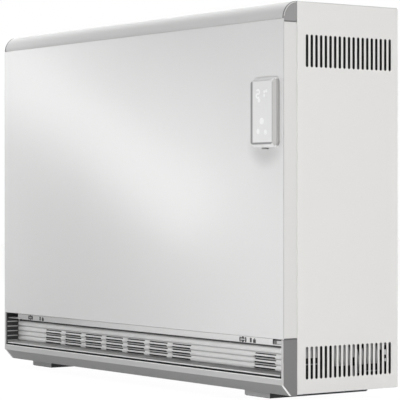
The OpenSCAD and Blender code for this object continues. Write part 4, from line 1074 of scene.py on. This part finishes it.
class HEATER_OT_outlet_grille(Operator):
    """Moulds the outlet grille: ledge, recess, ribs with groups of gaps, and lower lip"""
    bl_idname = "heater.outlet_grille"
    bl_label = "Outlet grille"

    def execute(self, context):
        s = sizes()
        low, high = corners("outlet_grille")
        lip_z = low[2] + 3 * MM
        rib_top = RIB_Z + 4 * s.rib_pitch + 0.2 * MM
        middles = RIB_Z + (np.arange(3, -1, -1) + 0.5) * s.rib_pitch
        upper = folded([(LEDGE_Y + 2 * MM, high[2]), (LEDGE_Y, high[2], 0.6 * MM),
                        (LEDGE_Y, LEDGE_Z + 2 * MM), (LEDGE_Y, LEDGE_Z, 0.8 * MM),
                        (WEB_Y, LEDGE_Z), (WEB_Y, rib_top), (RIB_Y, rib_top)], 3)
        ribs = ribbed(middles, s.rib_pitch, s.rib_bulge)
        share = (RIB_Y - LIP_BACK) / (RIB_Y - LIP_Y)
        lower = folded([(RIB_Y, RIB_Z), (LIP_BACK, RIB_Z + (lip_z + LIP_HIGH - RIB_Z) * share),
                        (LIP_Y, lip_z + LIP_HIGH, MM), (LIP_Y, lip_z, 0.5 * MM),
                        (LIP_BACK, lip_z), (RIB_Y + 3 * MM, lip_z)], 3)
        line = np.concatenate([upper, ribs, lower])
        vents = np.append(FIRST_VENTS + s.vent_pitch * np.arange(7), LAST_VENT)
        w, notches = s.vent_width / 2, (high[0] - NOTCH_RIGHT, low[0] + NOTCH_LEFT)
        lip_end = high[0] - LIP_SHORT
        stops = np.unique(np.round(np.concatenate([
            [low[0], *notches, lip_end, high[0]],
            *(vents + end + shift for end in (-w, w) for shift in (-VENT_SHIFT, VENT_SHIFT))]),
            6))
        x_mid = (stops[1:] + stops[:-1]) / 2
        y_mid, z_mid = ((line[1:] + line[:-1]) / 2).T
        keep = np.ones((len(line) - 1, len(stops) - 1), bool)
        on_ribs = (y_mid < RIB_Y + 0.1 * MM) & (z_mid < rib_top) & (z_mid > RIB_Z)
        for m in middles[1:]:
            for shift, (z0, z1) in ((VENT_SHIFT, GAP_OVER), (-VENT_SHIFT, GAP_UNDER)):
                rows = on_ribs & (z_mid > m + z0) & (z_mid < m + z1)
                keep[np.ix_(rows, (np.abs(x_mid[:, None] - vents - shift) < w).any(1))] = False
        keep[np.ix_(z_mid > LEDGE_Z + 1.9 * MM, (x_mid > notches[0]) | (x_mid < notches[1]))] = 0
        keep[np.ix_((z_mid < RIB_Z) & (y_mid < LIP_BACK), x_mid > lip_end)] = False
        thick = np.full(len(line), 2 * MM)
        thick[len(upper) + len(ribs):] = MM
        back = inward(line, thick)
        on = slice(len(upper), len(upper) + len(ribs))
        back[on] = line[on] + (2.2 * MM, 0)
        grids = [placed(g[:, 0][:, None], g[:, 1][:, None], stops[None], "X") for g in (line, back)]
        moulding = piece("outlet_grille_moulding", [walled(*grids, keep)], "grille_grey",
                         ["outlet_grille"], body="grille", edge=0.2 * MM, angle=50)

        def between(at, way):
            """Grooves between the gaps of a group, and the shelf over the ribs."""
            near = np.abs(at.x[:, None] - vents).min(1) < w - VENT_SHIFT
            groove = np.zeros(len(at.x), bool)
            for m in middles[1:-1]:
                groove |= (at.z < m + GAP_UNDER[0]) & (at.z > m - s.rib_pitch + GAP_OVER[1])
            shelf = (at.z > middles[0] + 3.6 * MM) & (at.z < rib_top + 0.3 * MM)
            return (groove & near & (at.y > RIB_Y - s.rib_bulge)) | shelf & (at.y > RIB_Y - MM)

        refinished(moulding, "ledge_white", lambda at, way: (way.y < -0.9) & (
            at.y < LEDGE_Y + 0.5 * MM) & (at.z > LEDGE_Z))
        # Painted shade in the creases between the ribs.
        refinished(moulding, "rib_valley_shade", lambda at, way: (way.y < 0) & (
            at.y > RIB_Y - s.rib_bulge) & (at.y < RIB_Y + MM) & (
            (at.z[:, None] < middles[:-1] - 3.4 * MM)
            & (at.z[:, None] > middles[:-1] - s.rib_pitch + 4.1 * MM)).any(1))
        refinished(moulding, "lip_grey", lambda at, way: (at.z < RIB_Z + 0.1 * MM) & (
            at.y < depth(4.5)))
        refinished(moulding, "groove_shade", between)
        # Painted shade: the ledge's end at the right notch is black.
        refinished(moulding, "shade_black", lambda at, way: (way.x > 0.9) & (
            np.abs(at.x - notches[0]) < 0.5 * MM) & (at.z > LEDGE_Z + MM))
        refinished(moulding, "grille_shade", lambda at, way: (at.x < notches[1] - 0.1 * MM) & (
            at.y < LEDGE_Y + 3 * MM) & (at.z > LEDGE_Z - MM))
        refinished(moulding, "grille_shade", lambda at, way: (at.z < RIB_Z + 0.1 * MM) & (
            at.y > depth(4.5)))
        self.screen(low, high, rib_top, lip_z, lip_end, notches[0])
        self.grip(high, notches[0])
        return {"FINISHED"}

    def screen(self, low, high, rib_top, lip_z, lip_end, notch):
        """Black strips that paint shade: behind the ribs, in the recess under the ledge, behind the
        lip's end, at the top of the notch, and four blocks under the lip.
        """
        x0, x1 = low[0] + 2 * MM, high[0] - 2 * MM
        dark = [block(x0, x1, RIB_Y + 2.4 * MM, RIB_Y + 2.9 * MM, RIB_Z, rib_top - 2 * MM),
                block(x0, x1, WEB_Y - 0.7 * MM, WEB_Y - 0.3 * MM, rib_top + 0.3 * MM,
                      LEDGE_Z - 0.4 * MM),
                block(lip_end - MM, high[0] - 0.1 * MM, LIP_BACK + MM, LIP_BACK + 2 * MM, lip_z,
                      RIB_Z - 1.5 * MM),
                block(notch + 0.2 * MM, high[0] - 0.3 * MM, LEDGE_Y + 0.8 * MM,
                      LEDGE_Y + 2 * MM, high[2] - 2.3 * MM, high[2] - 0.1 * MM)]
        dark += [block(x - 4 * MM, x + 4 * MM, depth(14), depth(19), low[2], lip_z - 1.1 * MM)
                 for x in np.array([-0.75, -0.25, 0.25, 0.75]) * (high[0] - 16 * MM)]
        strips = piece("outlet_grille_shade_strips", dark, "shade_black", slot="dark_plastic",
                       body="grille", edge=0.1 * MM, segments=1)
        refinished(strips, "ledge_shade", lambda at, way: (at.z > rib_top) & (at.y > depth(20)))

    def grip(self, high, notch):
        """Grip at the right notch: a plate with four ridges, and a wall beside it."""
        z0, z1 = LEDGE_Z + MM, high[2] - 1.6 * MM
        plate = ringed([(notch + 0.5 * MM, z0), (high[0], z0), (high[0], z1, MM),
                        (notch + 0.5 * MM, z1, MM)], 3)
        parts = [bar(plate, LEDGE_Y + 8 * MM, LEDGE_Y + 10 * MM, "Y"),
                 block(notch - 1.4 * MM, notch - 0.1 * MM, LEDGE_Y + 2.1 * MM,
                       LEDGE_Y + 10 * MM, z0, z1)]
        ridge = np.array([(8.2, -0.5), (7.4, 0), (8.2, 0.5)]) * MM
        parts += [bar(ridge + (LEDGE_Y, z), notch + 3 * MM, high[0] - 3 * MM, "X")
                  for z in np.arange(1, 5) * 1.7 * MM + z0]
        pad = piece("outlet_grille_finger_pad", parts, "case_white", slot="grille_grey",
                    body="grille", edge=0.4 * MM)
        refinished(pad, "unit_grey", lambda at, way: at.x < notch)


class HEATER_OT_latches(Operator):
    """Prints two arcs round each latch, and a bar and a padlock beside it"""
    bl_idname = "heater.latches"
    bl_label = "Latches"

    def execute(self, context):
        parts = []
        for side, name in SIDES:
            low, high = corners(name + "_latch")
            z, x = (low[2] + high[2]) / 2, high[0] - 4.9 * MM
            parts += self.brackets(x, z, LEDGE_Y, 6.6 if side > 0 else 5.6)
            parts += self.lock(x + (28 if side > 0 else 43) * MM, z, LEDGE_Y)
        piece("ledge_print", parts, "mark_grey", slot="dark_plastic", body="grille")
        return {"FINISHED"}

    def brackets(self, x, z, y, reach):
        """Two printed arcs beside a latch: flattened rings over 0.6 radian either way."""
        mark = banana(*(arc(-0.6, 0.6, 9, r, 0.85 * r) for r in (reach + 3.6, reach))) * MM
        return [bar(mark * (way, 1) + (x, z - 0.3 * MM), y - PRINT_OUT, y + PRINT_IN, "Y")
                for way in (-1, 1)]

    def lock(self, x, z, y):
        """A printed bar and a padlock: a rounded body under a half-ring shackle."""
        body = rounded_frame(7.6 * MM, 5.6 * MM, 0.6 * MM) + (x + 4.6 * MM, z - 1.6 * MM)
        half_ring = banana(*(arc(0, math.pi, 13, *r) for r in ((2.9, 2.8), (1.5, 1.4)))) * MM
        shackle = half_ring + (x + 4.6 * MM, z + 0.5 * MM)
        post = rounded_frame(5 * MM, 7.8 * MM, 0.6 * MM) + (x - 5.6 * MM, z - 0.2 * MM)
        return [bar(outline, y - PRINT_OUT, y + PRINT_IN, "Y") for outline in (body, shackle, post)]


# The lit print: lower left corners of the figures with their segments, and the middles of
# the rings and dots with their outer and inner radius in millimetres.
FIGURES = ((0.4046, 0.512, "abged"), (0.4176, 0.512, "bc"))
RINGS = ((0.4318, 0.5225, 2.4, 1.1), (0.412, 0.5073, 3.2, 0), (0.4195, 0.4726, 5.4, 4.0),
         (0.4195, 0.4726, 2.8, 0), (0.4095, 0.4557, 4.0, 3.0), (0.4095, 0.4557, 1.9, 0),
         (0.4297, 0.454, 4.0, 3.0), (0.4297, 0.454, 1.9, 0))


class HEATER_OT_control_unit(Operator):
    """Moulds the control unit's two-part body, its touch glass and the lit print"""
    bl_idname = "heater.control_unit"
    bl_label = "Control unit"

    def execute(self, context):
        low, high = corners("unit_housing")
        middle = ((low + high) / 2)[[0, 2]]
        width, height = high[0] - low[0], high[2] - low[2]
        front, pocket = low[1], corners("unit_glass")[1][1]
        bevel, part, rim = 5 * MM, 1.1 * MM, 0.5 * MM
        glass_w, glass_h = width - 2 * (bevel + rim), height - 2 * (bevel + rim)
        shell = (width, height, 10 * MM)
        opening = (glass_w + 0.3 * MM, glass_h + 0.3 * MM, 5 * MM)

        def rings(rows):
            """Rounded rectangles (y, width, height, radius, inset) joined ring to ring."""
            outlines = [rounded_frame(w, h, r, i) + middle for y, w, h, r, i in rows]
            return net(np.stack([placed(o[:, 0], o[:, 1], row[0], "Y")
                                 for o, row in zip(outlines, rows)]), round_cols=True)

        edge_y = front + 6.6 * MM
        seam_y = edge_y - part * 0.94
        c = context.scene.heater_colours
        banded(FINISH["unit_shell"], c.unit_shell, middle[0], width / 2 - 3 * MM)
        piece("control_unit_rear_shell",
              [rings([(FRONT_Y, *shell, 0), (edge_y, *shell, 0), (seam_y, *shell, part),
                      (seam_y + MM, *shell, part + 0.6 * MM)])],
              "unit_shell", ["unit_housing"], "unit_grey", outside=(0, -1, 0),
              thick=0.8 * MM, edge=0.5 * MM, segments=3, angle=30)
        banded(FINISH["unit_bezel"], c.unit_grey, middle[0], width / 2 - bevel - MM)
        bezel, faces = rings([(seam_y + 0.5 * MM, *shell, part), (front, *shell, bevel),
                              (front, *opening, 0), (pocket, *opening, 0)])
        n = len(bezel) // 4
        faces.append(list(range(3 * n, 4 * n)))
        shown = piece("control_unit_bezel", [(bezel, faces)], "unit_bezel", slot="unit_grey",
                      outside=(0, -1, 0), thick=0.6 * MM, edge=0.3 * MM, segments=3, angle=30)
        # Painted light: the bezel's faces that look down take a paler colour than the rest of the
        # frame.
        refinished(shown, "unit_low", lambda at, way: (way.z < -0.5) & (at.x < high[0] - 10 * MM))
        x0, x1 = middle[0] - glass_w / 2, middle[0] + glass_w / 2
        z0, z1 = middle[1] - glass_h / 2, middle[1] + glass_h / 2
        # Painted shade: the grey border round the glass is widest at the left and the bottom.
        FINISH["unit_glass"] = touch_glass(
            "Back-painted touch glass", c.glass_grey, GLASS_SHADE_GREY,
            (x0 + 5.6 * MM, x1 - 0.4 * MM, z0 + 3.2 * MM, z1 - 0.3 * MM))
        outline = rounded_frame(glass_w, glass_h, 4.8 * MM) + middle
        glass_y = corners("unit_glass")[0][1] + 0.12 * MM
        piece("control_unit_glass", [bar(outline, glass_y, pocket, "Y")],
              "unit_glass", ["unit_glass"], "unit_white", edge=0.25 * MM)
        self.lit_marks(glass_y)
        return {"FINISHED"}

    def lit_marks(self, glass_y):
        """Two figures, a degree ring, a state dot and three touch keys, in thin print."""
        y = (glass_y - 0.07 * MM, glass_y + 0.03 * MM)
        parts = [bar(line, *y, "Y") for x, z, segments in FIGURES
                 for line in figure(x, z, segments)]
        parts += [washer(x, z, outer * MM, inner * MM, *y) for x, z, outer, inner in RINGS]
        piece("control_unit_print", parts, "print_white", slot="unit_white")


def figure(x, z, segments):
    """Outlines of a seven-segment figure: each segment is a hexagon along its own line."""
    w, h, t = 8.6 * MM, 12.5 * MM, 1.35 * MM
    ends = {"a": ((0, h), (w, h)), "b": ((w, h), (w, h / 2)), "c": ((w, h / 2), (w, 0)),
            "d": ((0, 0), (w, 0)), "e": ((0, h / 2), (0, 0)), "f": ((0, h), (0, h / 2)),
            "g": ((0, h / 2), (w, h / 2))}
    outlines = []
    for key in segments:
        start, end = (np.array(p) + (x, z) for p in ends[key])
        along = (end - start) / np.linalg.norm(end - start)
        across = np.array([-along[1], along[0]]) * t
        start, end = start + along * 0.25 * MM, end - along * 0.25 * MM
        outlines.append(np.array([start, start + along * t + across, end - along * t + across,
                                  end, end - along * t - across, start + along * t - across]))
    return outlines


def washer(x, z, outer, inner, y0, y1, steps=24):
    """Flat ring or disc in X and Z: outer and inner circles at both depths, joined."""
    a = np.linspace(0, 2 * math.pi, steps, endpoint=False)
    inner = max(inner, 0.02 * MM)
    rings = [placed(x + r * np.cos(a), z + r * np.sin(a), y, "Y")
             for r, y in ((inner, y1), (inner, y0), (outer, y0), (outer, y1))]
    return net(np.stack(rings), round_rows=True, round_cols=True)


class HEATER_OT_feet(Operator):
    """Folds the two foot brackets and moulds the rubber pads inside them"""
    bl_idname = "heater.feet"
    bl_label = "Feet"

    def execute(self, context):
        s = sizes()
        for side, name in SIDES:
            low, high = corners(name + "_foot")
            line = folded([(low[1], low[2]), (low[1], high[2], s.bend),
                           (high[1], high[2], s.bend), (high[1], low[2])])
            # The foot's cut edges are black: painted shade.
            piece(name + "_foot_fold", [sheet_line(line, [low[0], high[0]], "X")],
                  "foot_steel", [name + "_foot"], outside=(0, 0, 1), thick=FOLD_SHEET,
                  edge=0.35 * MM, rim="cut_edge")
            low, high = corners(name + "_foot_pad")
            z = np.linspace(low[2], high[2], 7)
            groove = np.where(np.arange(7) % 2 == 1, 0.7 * MM, 0)
            walls = [np.stack([high[0] - groove, z], 1), np.stack([low[0] + groove, z[::-1]], 1)]
            x = np.linspace(low[0] + 3 * MM, high[0] - 3 * MM, 21)
            sole = np.stack([x, np.where(np.arange(21) % 4 < 2, low[2], low[2] + MM)], 1)
            flat = sole * (1, 0) + (0, low[2])
            end = 6 * MM
            parts = [bar(np.concatenate([under, *walls]), y0, y1, "Y") for under, y0, y1 in (
                (flat, low[1], low[1] + end),
                (sole, low[1] + end + 0.05 * MM, high[1] - end - 0.05 * MM),
                (flat, high[1] - end, high[1]))]
            piece(name + "_foot_rubber", parts, "pad_black", [name + "_foot_pad"],
                  edge=0.4 * MM, angle=60)
        return {"FINISHED"}


class HEATER_OT_fasteners(Operator):
    """Turns the pan-head screws of the rail, the rear panel and the control unit"""
    bl_idname = "heater.fasteners"
    bl_label = "Fasteners"

    def execute(self, context):
        parts = []
        for x in np.array([-1, -0.5, 0, 0.5, 1]) * 0.38:
            parts += self.screw((x, depth(37), BASE_Z), "Z", -1, 4 * MM, 1.6 * MM, 4 * MM)
        back = corners("rear_panel")[1][1]
        for x in (-HALF_W + 7 * MM, HALF_W - 7 * MM):
            for f in (0.12, 0.37, 0.63, 0.88):
                parts += self.screw((x, back, f * TOP_Z), "Y", 1, 4 * MM, 1.6 * MM, 6 * MM)
        low, high = corners("unit_housing")
        bracket = corners("unit_bracket")[0][1]
        for way in (-1, 1):
            x, z = ((low + high) / 2)[[0, 2]]
            z += way * ((high[2] - low[2]) / 2 - 16 * MM)
            parts += self.screw((x, bracket, z), "Y", -1, 3 * MM, 1.2 * MM, 6 * MM)
        piece("case_screw_heads", parts, "screw_steel", ["case_screws"], "zinc_steel")
        return {"FINISHED"}

    def screw(self, place, axis, way, radius, height, shank):
        """Pan head over radius and angle: a dome, less a cross-shaped recess."""
        rim = np.linspace(0, 1, 13)[1:]
        a = np.linspace(0, 2 * math.pi, 40, endpoint=False)
        r, t = np.meshgrid(rim * radius, a, indexing="ij")
        u, v = np.abs(r * np.cos(t)), np.abs(r * np.sin(t))
        arm = np.minimum(u, v) < 0.14 * radius
        reach = np.maximum(u, v) < 0.6 * radius
        dome = height * np.sqrt(np.clip(1 - 0.85 * (r / radius) ** 4, 0, 1))
        h = np.where(arm & reach, dome - 0.5 * height, dome)
        h[-1] = 0
        i, j, k = SPREAD[axis]
        top = placed(place[i] + r * np.cos(t), place[j] + r * np.sin(t), place[k] + way * h, axis)
        verts, faces = net(top, round_cols=True)
        tip = np.zeros((1, 3))
        tip[0, [i, j, k]] = place[i], place[j], place[k] + way * 0.5 * height
        n = len(verts)
        faces += [[n, q, (q + 1) % 40] for q in range(40)]
        rod = turned([(radius, 0), (0.45 * radius, 0), (0.45 * radius, -way * shank),
                      (0.1 * radius, -way * shank * 1.1)], place, axis, 20)
        return [(np.concatenate([verts, tip]), faces), rod]


class HEATER_OT_inner_parts(Operator):
    """Finishes the parts that keep their CAD shape"""
    bl_idname = "heater.inner_parts"
    bl_label = "Inner parts"

    def execute(self, context):
        slots = {row["node"]: row["material_slot"] for row in frame["record"]["subparts"]}
        kept = {"left_latch": "latch_grey", "right_latch": "latch_grey", "release_tab": "tab_grey"}
        for name, thing in frame["nodes"].items():
            if thing.hide_render:
                continue
            finish = FINISH.get(kept.get(name, slots[name]), FINISH["zinc_steel"])
            thing.data.materials.clear()
            thing.data.materials.append(finish)
        return {"FINISHED"}


# ---- Stage ----

# The camera that was fitted to the photograph's edges: place, turn about Z, lens and shift.
EYE, GAZE = (2.97979, -2.09163, 0.34896), 54.57
LENS, LENS_SHIFT = 173.62, -0.01178
FLOOR_REACH = 9.0
FLOOR_GREY = (0.42, 0.42, 0.42)

# A lamp's name, place, aim, width and watts, and of the strips also the height and the lean.
STRIP_LEAN = -24.2
LAMPS = (
    ("Right", (3.8, 0.3, 0.8), (0.4, 0, 0.3), 1.8, 69.6),
    ("Right high", (3.2, 0.6, 2.2), (0.4, 0, 0.4), 1.6, 13.9),
    ("Right low", (0.6, -1.1, 0.15), (0.3, -0.132, 0.25), 0.4, 6.3),
    ("Front left", (-2.8, -2.4, 0.9), (0, 0, 0.4), 1.6, 0.8),
    ("Left high", (-3, -0.6, 2.4), (0, 0, 0.5), 1.4, 4.4),
    ("Top front", (0.2, -0.9, 3), (0, 0, 0.5), 1.2, 26.8),
    ("Top rear", (0, 1.2, 3), (0, 0, 0.5), 1.6, 63.1),
    ("Slanting strip", (-1.08, -0.77, 0.49), (-1.08, -0.132, 0.49), 1.0, 2.8, 0.2, STRIP_LEAN),
    ("Slanting strip left", (-1.62, -0.77, 0.78), (-1.62, -0.132, 0.78), 0.6, 1.0, 0.2, STRIP_LEAN),
    ("Slanting strip high", (-1.02, -0.77, 0.69), (-1.02, -0.132, 0.69), 1.0, 0.8, 0.2, STRIP_LEAN),
    ("Near left", (-1.128, -0.444, 1.0), (-0.05, -0.132, 0.375), 0.4, 1.1),
    ("Rear", (-0.8, 3.6, 1.3), (0, 0.1, 0.35), 1.8, 20.0),
    ("Left", (-3.9, 0.9, 0.9), (-0.46, 0, 0.35), 1.6, 40.0),
)


class HEATER_OT_stage(Operator):
    """Lays the pale floor and sets the studio light and the camera"""
    bl_idname = "heater.stage"
    bl_label = "Stage"

    def execute(self, context):
        scene = context.scene
        across = np.linspace(-FLOOR_REACH, FLOOR_REACH, 3)
        x, y = np.meshgrid(across, across, indexing="ij")
        verts, faces = net(np.stack([x, y, np.zeros_like(x) - 0.1 * MM], -1))
        mesh = bpy.data.meshes.new("floor")
        mesh.from_pydata(verts.tolist(), [], faces)
        mesh.materials.append(self.floor_finish())
        floor = bpy.data.objects.new("floor", mesh)
        scene.collection.objects.link(floor)
        if mesh.polygons[0].normal.z < 0:
            mesh.flip_normals()
        self.world(scene)
        for row in LAMPS:
            self.lamp(*row)
        camera = bpy.data.cameras.new("Camera")
        camera.lens, camera.sensor_width, camera.shift_y = LENS, 36.0, LENS_SHIFT
        camera.clip_start, camera.clip_end = 0.05, 60
        eye = bpy.data.objects.new("Camera", camera)
        eye.location = EYE
        eye.rotation_euler = (math.radians(90), 0, math.radians(GAZE))
        scene.collection.objects.link(eye)
        scene.camera = eye
        scene.view_settings.view_transform = "Standard"
        return {"FINISHED"}

    def seen(self, tree):
        """1 on camera, glossy and transmission rays, and 0 on the rays that light things."""
        rays = node(tree, "LightPath").outputs
        seen = sums(tree, "MAXIMUM", rays["Is Camera Ray"], rays["Is Glossy Ray"])
        return sums(tree, "MAXIMUM", seen, rays["Is Transmission Ray"])

    def world(self, scene):
        """White to the eye, and almost dark to whatever it would light."""
        world = bpy.data.worlds.new("Studio")
        scene.world = world
        world.use_nodes = True
        tree = world.node_tree
        feed(tree.nodes["Background"], Color=(1, 1, 1, 1),
             Strength=ranged(tree, self.seen(tree), 0.01))

    def floor_finish(self):
        """Pale floor: mostly even white to the eye, with the object's shadow kept."""
        material, tree, shader, place = started("Studio floor")
        tone = toned(tree, noise(tree, place, 3.0), FLOOR_GREY, 1.0, 1.0476)
        feed(shader, Base_Color=tone, Roughness=0.9, Specular_IOR_Level=0.1)
        white = node(tree, "Emission", Strength=1.1)
        share = sums(tree, "MULTIPLY", self.seen(tree), 0.88)
        feed(tree.nodes["Material Output"],
             Surface=node(tree, "MixShader", _0=share, _1=shader, _2=white))
        return material

    def lamp(self, name, place, aim, width, watts, height=None, lean=0.0):
        """A soft lamp at a place, looking at a point and leaning sideways by degrees."""
        light = bpy.data.lights.new(name, "AREA")
        light.shape, light.energy = "RECTANGLE", watts
        light.size, light.size_y = width, height or width
        holder = bpy.data.objects.new(name, light)
        holder.location = place
        gaze = (Vector(aim) - Vector(place)).to_track_quat("-Z", "Y")
        gaze = gaze @ Quaternion((0, 0, 1), math.radians(lean))
        holder.rotation_euler = gaze.to_euler()
        holder.visible_camera = False
        bpy.context.scene.collection.objects.link(holder)


# ---- Panel and order of work ----

STEPS = (HEATER_OT_finishes, HEATER_OT_front_panel, HEATER_OT_top_cover,
         HEATER_OT_side_panels, HEATER_OT_vent_shade_mats, HEATER_OT_corner_strips,
         HEATER_OT_end_caps, HEATER_OT_bottom_rail, HEATER_OT_outlet_grille,
         HEATER_OT_latches, HEATER_OT_control_unit, HEATER_OT_feet, HEATER_OT_fasteners,
         HEATER_OT_inner_parts, HEATER_OT_stage)


class HEATER_PT_pieces(Panel):
    """Sizes, colours and the steps that build the heater"""
    bl_label = "Storage Heater"
    bl_space_type = "VIEW_3D"
    bl_region_type = "UI"
    bl_category = "Heater"

    def draw(self, context):
        for group in (context.scene.heater_sizes, context.scene.heater_colours):
            column = self.layout.column()
            for key in group.__annotations__:
                column.prop(group, key)
        for step in STEPS:
            self.layout.operator(step.bl_idname)


CLASSES = (HeaterColours, HeaterSizes, *STEPS, HEATER_PT_pieces)


def register():
    """Adds the classes and the scene's settings."""
    for made in CLASSES:
        bpy.utils.register_class(made)
    bpy.types.Scene.heater_sizes = PointerProperty(type=HeaterSizes)
    bpy.types.Scene.heater_colours = PointerProperty(type=HeaterColours)


def unregister():
    """Takes the settings and the classes away again."""
    del bpy.types.Scene.heater_colours
    del bpy.types.Scene.heater_sizes
    for made in reversed(CLASSES):
        bpy.utils.unregister_class(made)


def main():
    """Builds the heater and its stage."""
    register()
    for step in STEPS:
        group, name = step.bl_idname.split(".")
        getattr(getattr(bpy.ops, group), name)()


if __name__ == "__main__":
    main()
